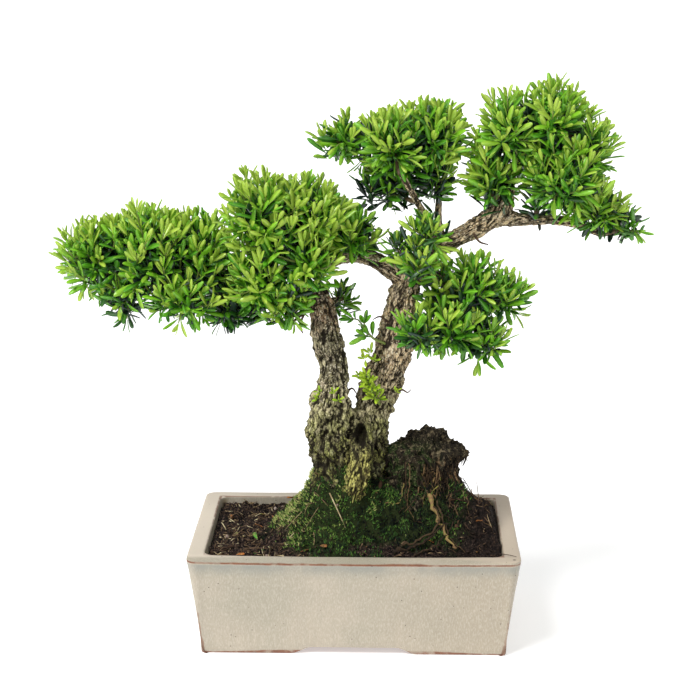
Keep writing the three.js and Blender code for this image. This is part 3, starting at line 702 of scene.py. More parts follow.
# %% Wood stations
RUNS = {
    "left_trunk": [
        (-14, -13, 56, 17), (-15, -14, 96, 17), (-16, -15, 130, 15.5), (-21, -15, 156, 16.5),
        (-22, -15, 182, 17.5), (-20.5, -15, 198, 16.5), (-19, -14, 210, 13), (-18.5, -13, 221, 11.4),
        (-19.5, -12, 232, 11.4), (-23.5, -11, 245, 12.4), (-26, -10, 257, 12), (-26.5, -10, 269, 11.3),
        (-31, -10, 284, 9.5), (-39, -11, 291, 7.5)],
    "trunk_foot": [
        (-6, -5, 56, 25), (-6, -6, 92, 27), (-5, -7, 118, 25), (-5, -7, 145, 22), (-5, -6, 168, 18),
        (-4, -5, 186, 11)],
    "right_trunk": [
        (6, 2, 56, 20), (8, 4, 100, 18.5), (10, 5, 132, 16.5), (11, 5, 158, 15), (13, 5, 180, 14.5),
        (16, 5, 192, 15.5), (20, 5, 204, 16.5), (24, 5, 216, 16), (29, 5, 229, 15.5), (32, 5, 242, 15.5),
        (34.3, 5, 254, 14.5), (36.4, 5, 266, 13), (39, 5, 280, 13), (42, 5, 292, 11.5), (48, 5, 306, 10)],
    "right_limb": [
        (46, 5, 303, 10), (57, 5, 314, 8.6), (69, 5, 324, 7.6), (85, 5, 332, 7), (97, 5, 339, 7.6),
        (109, 5, 346, 8), (122, 4, 347.6, 6.6), (139, 3, 346.6, 5), (160, 2, 347, 4.2),
        (180, 0, 344, 3.4), (200, -2, 336, 2.8)],
    "arch": [
        (43, 5, 290, 8.5), (36, 5, 297.5, 8), (24, 4, 307, 7), (7, 1, 315.5, 6.2), (-9, -4, 316, 6),
        (-25, -9, 312, 5.8), (-40, -15, 311, 5.2), (-54, -22, 315, 4)],
    "left_limb": [
        (-30, -10, 284, 8.5), (-46, -9, 278, 7.2), (-66, -7, 277, 6.4), (-88, -6, 282, 5.8),
        (-110, -5, 290, 5.2), (-132, -5, 298, 4.4)],
    "thin_branch": [
        (66, 5, 322, 3.6), (61, -2, 342, 3.1), (52, -12, 359, 2.9), (43.7, -19, 374.6, 2.7),
        (36, -24, 388, 2.3)],
    "back_branch": [(70, 7, 327, 4.4), (67, 11, 346, 3.4), (69, 14, 376, 2.6)],
    "crown_branch": [
        (112, 4, 346, 9), (119, 4, 358, 9.5), (122, 5, 368, 7.5), (126, 7, 382, 4.5), (133, 9, 400, 3)],
    "low_branch": [
        (42, 2, 294, 6.2), (54, -4, 303, 5.6), (66, -9, 301, 5), (80, -12, 295, 4.2), (92, -13, 290, 3.2)],
    "front_branch": [(44, 2, 296, 5), (47, -12, 304, 4), (50, -24, 314, 3), (53, -31, 324, 2.2)],
    "side_twig": [(-24, -6, 276, 5), (-20, 4, 277, 3.2), (-15, 12, 278, 2)],
    "front_root": [
        (7, -8, 176, 7), (5, -19, 156, 10), (2, -27, 136, 11.5), (-3, -32, 116, 11), (-7, -36, 96, 8)],
    "left_root": [(-24, -14, 140, 9), (-34, -16, 114, 9), (-44, -20, 92, 7), (-54, -24, 78, 4)],
    "back_left_root": [(-20, 0, 146, 9), (-28, 12, 116, 10), (-42, 26, 96, 8), (-54, 36, 80, 4)],
    "back_root": [(10, 12, 146, 9), (6, 26, 116, 10), (0, 40, 94, 8), (-6, 54, 78, 4)],
}
SKELETON_STEP = 1.5


def skeleton():
    """Fine samples of all runs: place, direction, the two section directions, radius, length so far, number
    of run."""
    rows = []
    for number, stations in enumerate(RUNS.values()):
        line = smooth_run(stations, SKELETON_STEP)
        place, radius = line[:, :3], line[:, 3]
        directions = [part[0] for part in sections(place[None])]
        run = np.full(len(line), number)
        rows.append(np.column_stack([place, *directions, radius, length_along(place), run]))
    return np.concatenate(rows)


SKELETON = skeleton()
print("samples along the wood:", len(SKELETON))

# %% [markdown]
# ## Bark
# Old boxwood bark is corky: upright plates a few millimetres wide, parted by deep dark furrows, with lumps
# and scars between. The trunks, limbs and roots grew as one piece, so their tubes are first fused into one
# skin by a voxel remesh. A displacement texture on that would ignore which way each limb runs. Instead
# every point is given its place on the nearest limb, as a distance along it and an angle round it, and the
# plates are drawn in those coordinates.

# %% Fuse the tubes
WOOD_VOXEL = 1.15
WOOD_STEP, WOOD_SIDES = 3.0, 20


def wood_tubes():
    """Round tubes along every run, with a slow uneven swelling of a tenth of the radius."""
    parts = []
    for number, stations in enumerate(RUNS.values()):
        line = smooth_run(stations, WOOD_STEP)
        centres = line[None, :, None, :3]
        rings = tube_rings(line[None, :, :3], line[None, :, 3], WOOD_SIDES)
        swell = 1 + 0.14 * smooth_noise(rings.reshape(-1, 3), 18, 30 + number)
        swell = swell.reshape(rings.shape[:3])[..., None]
        parts.append(skins(centres + (rings - centres) * swell, line[None, [0, -1], :3]))
    return parts


def fused(parts, voxel):
    """One even skin over overlapping closed skins, by a voxel remesh: points, four-cornered faces and
    normals."""
    rough = new_piece("rough_wood", together(parts))
    remesh = rough.modifiers.new("Fuse", "REMESH")
    remesh.mode = "VOXEL"
    remesh.voxel_size = voxel * MM
    mesh = evaluated_mesh(rough)
    corner = np.empty(len(mesh.loops), np.int32)
    mesh.loops.foreach_get("vertex_index", corner)
    bpy.data.objects.remove(rough)
    points, normals = surface_of(mesh)
    return points, corner.reshape(-1, 4), normals


# %% Bark relief
FLAKE = np.array([2.9, 2.9, 6.5])
FURROW_WIDTH, FURROW_LENGTH = 5.0, 30.0
FLUTE_WIDTH, FLUTE_LENGTH = 9.0, 60.0
SPLIT_WIDTH, SPLIT_LENGTH = 2.7, 8.0
TRUNK_HOLLOW = np.array([4.5, -26.0, 171.0])
HOLLOW_RADII = np.array([6.0, 13.0, 9.5])
RUN_APART = 97.0
SLICE = 4000


def on_the_wood(points):
    """For each point its nearest sample, by distance less radius. Done in slices to save memory."""
    nearest = np.empty(len(points), int)
    for start in range(0, len(points), SLICE):
        part = points[start:start + SLICE]
        square = (part ** 2).sum(1)[:, None] + (SKELETON[:, :3] ** 2).sum(1) - 2 * part @ SKELETON[:, :3].T
        nearest[start:start + SLICE] = (np.sqrt(np.maximum(square, 0)) - SKELETON[:, 12]).argmin(1)
    return SKELETON[nearest]


def drawn_out(points, width, length, seed):
    """Smooth noise whose lumps are that wide and, along the third axis, that long."""
    return smooth_noise(points * (1, 1, width / length), width, seed)


def bark_relief(points, normals):
    """Moves points along their normals: lumps, then long furrows where stretched noise changes its sign,
    then finer splits between them, then the steps between small flakes. Also gives, for each point, how dark
    it is painted in the furrows, cracks, splits and the hollow, partly the darker bark there and partly
    painted shade, the random number of its flake, and its place unrolled along its limb."""
    sample = on_the_wood(points)
    offset = points - sample[:, :3]
    ahead, to_side, to_third = ((offset * sample[:, i:i + 3]).sum(1) for i in (3, 6, 9))
    angle, radius = np.arctan2(to_third, to_side), sample[:, 12]
    unrolled = np.column_stack([radius * np.cos(angle), radius * np.sin(angle), sample[:, 13] + ahead])
    unrolled = unrolled + sample[:, 14:15] * RUN_APART
    warped = unrolled + drift(unrolled, 14, 21) * (3.6, 3.6, 5.0) + drift(unrolled, 5, 31) * (1.1, 1.1, 1.6)
    gap, owner = cell_noise(warped / FLAKE, 1.0, 24)
    patch = ease(smooth_noise(unrolled, 9, 34), -0.3, 0.3)
    furrow = 1 - ease(np.abs(drawn_out(warped, FURROW_WIDTH, FURROW_LENGTH, 25)), 0.0, 0.16)
    split = np.abs(drawn_out(warped, SPLIT_WIDTH, SPLIT_LENGTH, 28))
    crack = (1 - ease(gap, 0.0, 0.22)) * patch
    foot = ease(-points[:, 2], -205, -120)
    lumps = rough_noise(points, 15, 3, 26) * (1.8 + 3.0 * foot)
    lumps = lumps + rough_noise(points, 6, 2, 29) * (1.0 + 1.2 * foot)
    lumps = lumps + 2.2 * drawn_out(warped, FLUTE_WIDTH, FLUTE_LENGTH, 36)
    steps = 1.7 * (owner - 0.5) * (0.4 + 0.6 * patch)
    height = 0.4 + lumps - 2.3 * furrow - 0.9 * crack + steps + 2.8 * (split - 0.28)
    moved = points + normals * (np.clip(radius / 15, 0.2, 1.1) * height)[:, None]
    hollow = 1 - ease(np.linalg.norm((moved - TRUNK_HOLLOW) / HOLLOW_RADII, axis=1), 0.75, 1.15)
    moved = moved + hollow[:, None] * (0, 9.0, -1.5)
    # Painted shade: the furrows, cracks and splits are painted dark, partly the darker bark in them and
    # partly shade in these recesses, and the hollow in the trunk is painted dark as shade.
    dark = np.clip(0.9 * furrow + 0.5 * crack + 0.6 * (1 - ease(split, 0.0, 0.2)) + hollow, 0, 1)
    grains = {"grain_" + name: unrolled[:, i] for i, name in enumerate("xyz")}
    return moved, {"furrow": dark, "plate": owner, **grains}


wood_points, wood_quads, wood_normals = fused(wood_tubes(), WOOD_VOXEL)
wood_points, wood_values = bark_relief(wood_points, wood_normals)
wood = new_piece("trunks_and_limbs", (wood_points, wood_quads), wood_values)

# %% [markdown]
# ### Bark finish
# High on the right trunk the plates are tan with a pink cast, at the left trunk's top rusty, and elsewhere
# grey-olive. Towards the foot algae and lichen have turned the wood yellow-green and, in patches, nearly
# black; one slanted root in front is the yellowest. Pale flecks stand on the plates. The furrows and cracks
# are painted nearly black everywhere, partly the darker bark inside them and partly painted shade in these
# recesses, and the hollow in the trunk is painted dark as painted shade. The grain is read in the unrolled
# coordinates, so it follows each limb; the rest depends on the place alone.

# %% Bark finish
def bark_finish():
    bark = Finish("corky_bark", Roughness=0.9, Specular_IOR_Level=0.2)
    side, front, height = (bark.axis(name) for name in "XYZ")
    furrow, plate = bark.value("furrow"), bark.value("plate")
    places = {i: bark.value("grain_" + name) for i, name in enumerate("xyz")}
    unrolled = bark.node("ShaderNodeCombineXYZ", {}, places).outputs[0]
    grain = bark.noise(1000, 4, bark.scaled(unrolled, 0.6, 0.6, 0.17))
    swing = bark.noise(1000, 3, bark.scaled(unrolled, 0.3, 0.3, 0.07)) - 0.5
    line = 1 - (swing * swing).between(0.0, 0.0012)
    blotch, fine, flake = bark.noise(16, 4), bark.noise(1.5, 4), bark.noise(3.2, 3)
    right = (side + (blotch - 0.5) * 24).between(-6, 8) * (height + blotch * 60).between(205, 255)
    top = (height + blotch * 30).between(265, 285) * (1 - side.between(-16, -4))
    lower = 1 - (height + blotch * 80).between(195, 250)
    foot = 1 - (height + (blotch - 0.5) * 60).between(134, 172)
    slanted = side - (height - 136) * 0.16
    root = (0 - front).between(24, 32) * slanted.between(-14, -8) * (1 - slanted.between(10, 16))
    root = root * (1 - height.between(166, 178))
    around = (1 - height.between(166, 186)) * (0 - front).between(4, 16) * (1 - root)
    tan = bark.coats(
        bark.mix(plate, (255, 230, 186), (212, 180, 134)), (flake.between(0.5, 0.62) * 0.6, (226, 202, 172)))
    grey = bark.coats(
        bark.mix(plate, (166, 158, 116), (234, 222, 178)), (flake.between(0.52, 0.62) * 0.5, (206, 192, 156)))
    rusty = bark.mix(flake.between(0.4, 0.6), (128, 88, 64), (190, 152, 120))
    lichen = bark.mix(fine.between(0.34, 0.66), (90, 98, 40), (216, 216, 128))
    pale = bark.mix(lower, (236, 214, 186), (216, 216, 164))
    yellow = bark.mix(grain.between(0.4, 0.6), (216, 208, 118), (112, 100, 36))
    fleck = bark.mix(lower, (250, 240, 210), (186, 186, 104))
    bark.colour(bark.coats(
        grey,
        (right, tan),
        (top * 0.8, rusty),
        (lower * bark.noise(8, 3).between(0.38, 0.54), lichen),
        (foot * bark.noise(6, 3).between(0.4, 0.54) * 0.85, (36, 42, 20)),
        (bark.noise(9, 4).between(0.53, 0.63) * 0.55, pale),
        (bark.noise(15, 3, bark.upright(0.6)).between(0.54, 0.61) * 0.62, (50, 45, 31)),
        (lower * bark.noise(19, 3).between(0.52, 0.6) * 0.6, (150, 152, 84)),
        (around * blotch.between(0.4, 0.52) * 0.6, (38, 38, 24)),
        (root * 0.75, yellow),
        (grain.between(0.44, 0.6) * 0.72, (62, 52, 36)),
        (fine.between(0.53, 0.63) * (1 - furrow) * (0.85 - 0.35 * lower), fleck),
        # Furrows, cracks and the hollow nearly black: partly darker bark, partly painted shade.
        ((line * 0.8 + furrow.between(0.2, 0.85)).clamped() * 0.94, (30, 24, 17)),
    ))
    bark.bump(fine * 0.6 + grain * 1.4 + flake * 0.8 - line * 0.9, 1.2)
    return bark.material


finished(wood, bark_finish(), "bark", "trunk")

# %% [markdown]
# ## Dead stump
# Beside the trunks stands the stump of an older one, a crag of dark dead wood with upright ribs. Its
# outline is easy to say as rings, each with a middle, a half width and a half depth at a height. Straight
# lines join the numbers of neighbouring rings, and ribs, hollows and grain are added along the way out from
# the middle.

# %% Stump surface
STUMP_RINGS = [
    (56, 64, 0, 43, 46), (80, 64, -2, 44, 45), (100, 61, 0, 41, 37), (116, 56, 4, 31, 30),
    (128, 53, 6, 28, 28), (137, 54, 8, 29, 27), (146, 57, 8, 33, 24), (153, 56, 9, 28, 20),
    (159, 60, 9, 18, 13), (165.5, 64, 9, 9, 7)]
STUMP_ROWS, STUMP_COLUMNS = 120, 240
STUMP_CORE = np.array([60.0, 4.0, 125.0])
STUMP_KNOB = np.array([90.0, 0.0, 143.0])
KNOB_SIZE = 7.0


def ridged(points, size, seed):
    """-1 in broad hollows to 1 along sharp crests: one less twice the size of smooth noise."""
    return 1 - 2 * np.abs(smooth_noise(points, size, seed))


def stump_surface():
    """Rings round an upright line. At a height and an angle the reach is the ring's half width and depth,
    times one plus ribs (sines of seven and three turns). Crests of three sizes, the finest drawn out
    upwards, make it a crag."""
    knots = np.array(STUMP_RINGS, float)
    share = np.linspace(0, len(knots) - 1, STUMP_ROWS)
    height, middle_x, middle_y, half_width, half_depth = (
        np.interp(share, np.arange(len(knots)), knots[:, i])[:, None] for i in range(5))
    angle = np.linspace(0, 2 * np.pi, STUMP_COLUMNS, endpoint=False)[None, :]
    ribs = 0.07 * np.sin(7 * angle + share[:, None] * 0.25) + 0.05 * np.sin(3 * angle + 1)
    x = middle_x + np.cos(angle) * half_width * (1 + ribs)
    y = middle_y + np.sin(angle) * half_depth * (1 + ribs)
    flat = np.stack([x, y, np.broadcast_to(height, x.shape)], -1).reshape(-1, 3)
    outward = unit((flat - STUMP_CORE) * (1, 1, 0.5))
    warped = flat + drift(flat, 24, 45) * 7
    crest = ridged(warped * (1, 1, 0.7), 17, 41)
    ledge = ridged(warped, 8, 42)
    strand = ridged(warped * (1, 1, 0.2), 4.2, 43)
    knob = np.exp(-(((flat - STUMP_KNOB) / KNOB_SIZE) ** 2).sum(1))
    relief = 4.6 * crest + 3.6 * ledge + 2.2 * strand + 2.5 * rough_noise(flat, 24, 2, 44) + 5.0 * knob - 6.0
    moved = flat + outward * relief[:, None] + unit(outward) * (rough_noise(flat, 2.8, 2, 48) * 0.8)[:, None]
    # Painted shade: how low a point lies between the crests, which the finish paints near black in these
    # hollows.
    hollow = np.clip(0.55 - 0.4 * crest - 0.35 * ledge - 0.25 * strand, 0, 1)
    ends = np.array([[64, 0, 56], moved[-STUMP_COLUMNS:].mean(0) + (0, 0, 0.5)])
    rings = moved.reshape(1, STUMP_ROWS, STUMP_COLUMNS, 3)
    return skins(rings, ends[None]), {"hollow": np.concatenate([hollow, [0, 0]])}


stump = new_piece("dead_stump", *stump_surface())


# %% Stump finish
def dead_wood_finish():
    dead = Finish("dead_wood", Roughness=0.95, Specular_IOR_Level=0.12)
    upright = dead.upright(0.22)
    strand = dead.noise(3.0, 4, upright)
    grit = dead.noise(1.5, 4)
    side, height = dead.axis("X"), dead.axis("Z")
    place = (side + (dead.noise(20, 2) - 0.5) * 30).between(54, 70) * (1 - height.between(136, 152))
    brown = dead.noise(9, 4, upright).between(0.48, 0.58) * place * strand.between(0.42, 0.6)
    green = dead.noise(13, 4).between(0.4, 0.54) * (1 - side.between(54, 76)) * (1 - height.between(146, 164))
    dead.colour(dead.coats(
        dead.mix(strand.between(0.35, 0.7), (22, 19, 16), (62, 54, 42)),
        (brown * 0.9, dead.mix(grit.between(0.4, 0.6), (112, 82, 54), (206, 170, 128))),
        (green * 0.85, dead.mix(grit.between(0.35, 0.65), (16, 24, 15), (60, 82, 36))),
        (dead.noise(4, 4).between(0.56, 0.66) * 0.5, (140, 126, 98)),
        (grit.between(0.58, 0.66) * 0.35, (156, 144, 116)),
        # Painted shade: the hollows between the crests are painted near black.
        (dead.value("hollow").between(0.3, 0.9) * 0.92, (12, 10, 8)),
    ))
    dead.bump(strand + grit * 0.9, 1.6)
    return dead.material


finished(stump, dead_wood_finish(), "dead_wood", "old_stump")

# %% [markdown]
# ## Soil and mound
# The soil fills the pot and rises in a mound round the trunks and the stump. Its height is one formula of x
# and y, so it is a disc over the pot's inside, lifted by that formula and roughened into crumbs, with walls
# and a floor below.

# %% Soil height
SOIL_LEVEL = 78.0
SOIL_WALL_TOP = 74.0
SOIL_GAP = 0.35
MOUNDS = [(-9, -8, 84, 39.5, 40), (62, -4, 52, 55, 46)]
MOUND_POWER = 1.9
HEAP = (113, 6, 13, 8, 34)
WALL_SHOULDER = 30.0
WALL_RISE = 7.0
INSIDE_LENGTH = POT_LENGTH / 2 - LIP_WIDTH
INSIDE_DEPTH = POT_DEPTH / 2 - LIP_WIDTH


def from_wall(x, y, margin=0):
    """How far a place lies inside the pot's wall, less a margin."""
    return np.minimum(INSIDE_LENGTH - margin - np.abs(x), INSIDE_DEPTH - margin - np.abs(y))


def soil_height(x, y):
    """The level, plus mounds and a slight ripple. Each mound is its height x exp(-(distance / spread) ^
    1.9). They are joined as the cube root of the sum of their cubes, and held down near the pot's wall."""
    rises = [tall * np.exp(-np.hypot((x - cx) / wide, (y - cy) / deep) ** MOUND_POWER)
             for cx, cy, tall, wide, deep in MOUNDS]
    mound = np.cbrt(sum(rise ** 3 for rise in rises))
    shoulder = ease(from_wall(x, y), 0, WALL_SHOULDER)
    ripple = 1.2 * np.sin(0.19 * x + 2 * np.sin(0.11 * y)) * np.sin(0.17 * y + 1)
    return SOIL_LEVEL + np.minimum(mound, WALL_RISE + mound * shoulder) + ripple


def moss_cover(x, y):
    """How mossy the ground is, 0 to 1: most of the mound, little of the bare soil at both ends of the
    pot."""
    patches = rough_noise(np.column_stack([x, y, np.zeros(len(x))]), 24, 3, 51)
    bare_right = ease(x + 14 * patches, 74, 100)
    return ease(soil_height(x, y) + 9 * patches - 0.05 * np.abs(x + 20), 79, 88) * (1 - bare_right)


def ground(x, y):
    """The ground as it is seen: the soil's height, a heap of shreds against the pot's right end, lumps up
    to a few millimetres high, and crumbs, which are larger where it is bare."""
    place = np.column_stack([x, y, soil_height(x, y)])
    bare = 1 - moss_cover(x, y)
    crumb, _ = cell_noise(place, 4.2, 52)
    heap_x, heap_y, tall, wide, deep = HEAP
    heap = tall * np.exp(-((x - heap_x) / wide) ** 2 - ((y - heap_y) / deep) ** 2)
    lumps = rough_noise(place, 21, 2, 53) * 5.0 + rough_noise(place, 8, 2, 54) * 3.4
    lumps = lumps * (0.15 + 0.85 * ease(from_wall(x, y, 3), 0, 16))
    held = ease(INSIDE_LENGTH - 1 - x, 0, 6)
    return place[:, 2] + lumps + heap * held + (ease(crumb, 0, 0.5) - 0.6) * (0.8 + 2.0 * bare)


# %% Soil surface
SOIL_COLUMNS, SOIL_ROWS = 360, 86


def soil_surface():
    """A disc of rings shrunk towards the middle and lifted to the ground's height, over a wall and a
    floor."""
    share = np.arange(SOIL_COLUMNS) / SOIL_COLUMNS
    taper = (SOIL_LEVEL - FLOOR_TOP) / (POT_HEIGHT - FLOOR_TOP)
    insets = (WALL_TAPER_INSIDE * (1 - taper) + SOIL_GAP, WALL_TAPER_INSIDE + SOIL_GAP)
    brim, base = (rounded_outline(share, INSIDE_LENGTH - inset, INSIDE_DEPTH - inset, CORNER_RADIUS)[0]
                  for inset in insets)
    floor = FLOOR_TOP + SOIL_GAP
    below = [ring_at(base * shrink, floor) for shrink in (0.3, 0.7, 1)]
    wall = [ring_at(base + (brim - base) * rise, floor + (SOIL_WALL_TOP - floor) * rise)
            for rise in (0.35, 0.7, 1)]
    top = (brim[None] * np.linspace(1, 0.012, SOIL_ROWS)[:, None, None]).reshape(-1, 2)
    place = np.column_stack([top, ground(*top.T)])
    rings = np.concatenate([np.array(below), np.array(wall), place.reshape(SOIL_ROWS, SOIL_COLUMNS, 3)])
    ends = np.array([[0, 0, floor], place[-1] + (0, 0, 0.1)])
    moss = np.concatenate([np.zeros(6 * SOIL_COLUMNS), moss_cover(*top.T), [0, 1]])
    points, *faces = skins(rings[None], ends[None])
    return (flared(points), *faces), {"moss": moss}


# %% Soil finish
def soil_finish():
    look = Finish("mossy_soil", Roughness=0.95, Specular_IOR_Level=0.15)
    grain = look.noise(2.2, 4)
    green = look.mix(look.noise(6, 4), (20, 28, 16), (56, 66, 32))
    look.colour(look.coats(
        look.mix(grain.between(0.42, 0.7), (14, 10, 11), (82, 66, 57)),
        (look.noise(1.4, 2).between(0.6, 0.7) * 0.7, (142, 122, 106)),
        (look.axis("X").between(50, 90) * 0.6, (26, 20, 18)),
        (look.value("moss"), green),
    ))
    look.bump(grain + look.noise(0.9, 3) * 0.6, 2.0)
    return look.material


soil = new_piece("soil_mound", *soil_surface())
finished(soil, soil_finish(), "soil", "soil")

# %% [markdown]
# ## Moss
# Moss is thousands of tiny shoots. Hair particles would be the usual tool, but they aren't kept when a
# model is exported, so each tuft is a small closed spike: a three-sided ring with a point below and a point
# above.

# %% Moss spikes
MOSS_ON_GROUND = 12400
MOSS_ON_STUMP = 2000
MOSS_ON_TRUNK = 1300


def spikes(roots, directions, lengths, widths):
    """Slim double pyramids: a three-sided ring a quarter of the way up, a point below it and a point at the
    tip."""
    axis = unit(directions)
    side, third = square_to(axis)
    spoke = spokes(round_angles(3), side[:, None], third[:, None])
    ring = (roots + axis * lengths[:, None] * 0.25)[:, None] + widths[:, None, None] * spoke
    ends = np.stack([roots - axis * lengths[:, None] * 0.1, roots + axis * lengths[:, None]], 1)
    return skins(ring[:, None], ends)


def ground_moss(draw):
    """Roots and normals of shoots scattered where the ground is mossy."""
    x = draw.uniform(-118, 118, MOSS_ON_GROUND * 5)
    y = draw.uniform(-79, 79, MOSS_ON_GROUND * 5)
    chosen = np.flatnonzero(draw.random(len(x)) < moss_cover(x, y) * 0.95)[:MOSS_ON_GROUND]
    x, y = x[chosen], y[chosen]
    level = soil_height(x, y)
    slopes = np.column_stack([level - soil_height(x + 1, y), level - soil_height(x, y + 1), np.ones(len(x))])
    return np.column_stack([x, y, ground(x, y) - 0.4]), unit(slopes)


def climbing_moss(piece, count, top, left_of, draw):
    """Roots and normals of shoots on a standing piece: below a height, left of a place, in patches."""
    points, normals = surface_of(piece.data)
    patches = rough_noise(points, 16, 3, 63) * 26
    cover = ease(top - points[:, 2] + patches, 0, 22) * ease(left_of - points[:, 0] + patches, 0, 16)
    cover = cover * (points[:, 2] > 84) * ease(normals[:, 2], -0.5, 0.3)
    chosen = draw.choice(len(points), count, p=cover / cover.sum())
    return points[chosen] + draw.normal(0, 0.5, (count, 3)), normals[chosen]


def moss_shoots():
    """All shoots, and for each a tone from dark to light; those on the sunny left ridge are yellower, and
    those right of the trunk darker. Shoots on raised lumps and at the top of the mound near the trunk are
    painted lighter as painted light, those in the dips between the lumps darker as painted shade.
    """
    draw = np.random.default_rng(61)
    beds = [ground_moss(draw), climbing_moss(stump, MOSS_ON_STUMP, 126, 74, draw),
            climbing_moss(wood, MOSS_ON_TRUNK, 118, 40, draw)]
    roots, normals = (np.concatenate(column) for column in zip(*beds))
    x, y, z = roots.T
    lean = normals + draw.normal(0, 0.4, roots.shape) + (0, 0, 0.35)
    lengths = draw.uniform(1.6, 4.2, len(roots)) * (1 + 0.4 * rough_noise(roots, 9, 2, 64))
    patch = rough_noise(roots, 19, 2, 62) + 0.7 * rough_noise(roots, 7, 2, 65)
    # Painted light and shade: shoots on raised lumps are lighter, those in the dips between them darker.
    patch = patch + 2.2 * ((ground(x, y) - soil_height(x, y)) / 5) - 1.3 * ease(x, 8, 30)
    ridge = ease(-x, 24, 46) * ease(z, 80, 92)
    # Painted light: the top of the mound near the trunk is lighter.
    high = ease(z, 98, 122) * ease(18 - x, 0, 14)
    tone = 0.36 + 0.3 * ridge + 0.1 * high + 0.18 * patch
    tone = tone + draw.normal(0, 1, len(roots)) * (0.17 + 0.15 * ridge)
    return toned(spikes(roots, lean, lengths, draw.uniform(0.35, 0.65, len(roots))), np.clip(tone, 0, 1))


# %% Moss finish
def moss_finish():
    look = Finish("moss", Roughness=0.8, Specular_IOR_Level=0.2)
    look.colour(look.ramp(
        look.value("tone"), (0.0, (12, 17, 19)), (0.26, (42, 60, 38)), (0.5, (78, 120, 50)),
        (0.74, (128, 158, 72)), (1.0, (196, 196, 124))))
    return look.material


finished(new_piece("moss_tufts", *moss_shoots(), smooth=False), moss_finish(), "soil")

# %% [markdown]
# ## Leaves
# A boxwood leaf is a small leathery blade, narrow at its root, widest past the middle and blunt at the tip,
# with a groove along the middle and edges that turn down a little. Eleven thousand of them have to stay
# light, so each is a closed skin of five rings with four points: the two edges, the middle of the upper
# face and that of the lower one.

# %% Leaf blades
LEAF_STATIONS = np.array([0.1, 0.32, 0.56, 0.79, 0.95])
LEAF_ACROSS = np.array([1.0, 0.0, -1.0, 0.0])
LEAF_UNDER = np.array([0.3, 0.0, 0.3, 1.0])
LEAF_POINTS = len(LEAF_STATIONS) * len(LEAF_ACROSS) + 2
ROOT_POWER, TIP_POWER = 1.0, 0.5
BLADE_THICKNESS = 0.4


def leaf_blades(root, along, face, length, width, fold, droop):
    """At a share u of the length the half width is width x u x (1 - u)^0.5, scaled to 1 at its widest. The
    halves rise from the middle by fold, and the middle line bends down by droop x u^2."""
    face = unit(face - along * (face * along).sum(-1, keepdims=True))
    across = np.cross(face, along)
    widest = ROOT_POWER / (ROOT_POWER + TIP_POWER)
    full = widest ** ROOT_POWER * (1 - widest) ** TIP_POWER
    u = LEAF_STATIONS[None, :, None]
    half = width[:, None, None] * u ** ROOT_POWER * (1 - u) ** TIP_POWER / full
    bend = droop[:, None, None]
    long = length[:, None, None]
    middle = root[:, None] + along[:, None] * u * long - face[:, None] * bend * u ** 2 * long
    up = unit(face[:, None] + along[:, None] * 2 * bend * u)
    v = LEAF_ACROSS[None, None, :]
    lift = half * fold[:, None, None] * np.abs(v) - BLADE_THICKNESS * (LEAF_UNDER == 1)
    rings = middle[:, :, None] + across[:, None, None] * (half * v)[..., None]
    rings = rings + up[:, :, None] * lift[..., None]
    tip = root + along * length[:, None] - face * (droop * length)[:, None]
    return skins(rings, np.stack([root, tip], 1))


def leafy(blades):
    """The skin of a set of leaves, whose last column is their age, with values for each point: how far
    across and along its blade it lies, whether it is under, and the blade's age."""
    *shapes, age = blades
    stations = len(LEAF_STATIONS)
    values = {
        "across": np.concatenate([np.tile(LEAF_ACROSS, stations), [0, 0]]),
        "along": np.concatenate([np.repeat(LEAF_STATIONS, len(LEAF_ACROSS)), [0, 1]]),
        "under": np.concatenate([np.tile(LEAF_UNDER, stations), [0, 0]]), "woody": np.zeros(LEAF_POINTS)}
    values = {key: np.tile(value, len(age)) for key, value in values.items()}
    return leaf_blades(*shapes), {**values, "age": np.repeat(age, LEAF_POINTS)}


def woody(skin, age=0.6):
    """Twigs, with the same values as leaves have."""
    count = len(skin[0])
    values = {key: np.zeros(count) for key in ("across", "along", "under")}
    return skin, {**values, "age": np.full(count, age), "woody": np.ones(count)}


# %% [markdown]
# ## Heads of foliage
# Each head is a few egg-shaped lobes, pruned into a cloud. Shoots grow from twigs in each lobe's middle out
# to its surface and turn up to the light. On every shoot the leaves stand in pairs, each pair square to the
# one before it, small and upright at the tip, large and spread further down. The lobes follow the packed
# solids within a few millimetres, and reach out to the tips of the leaves.

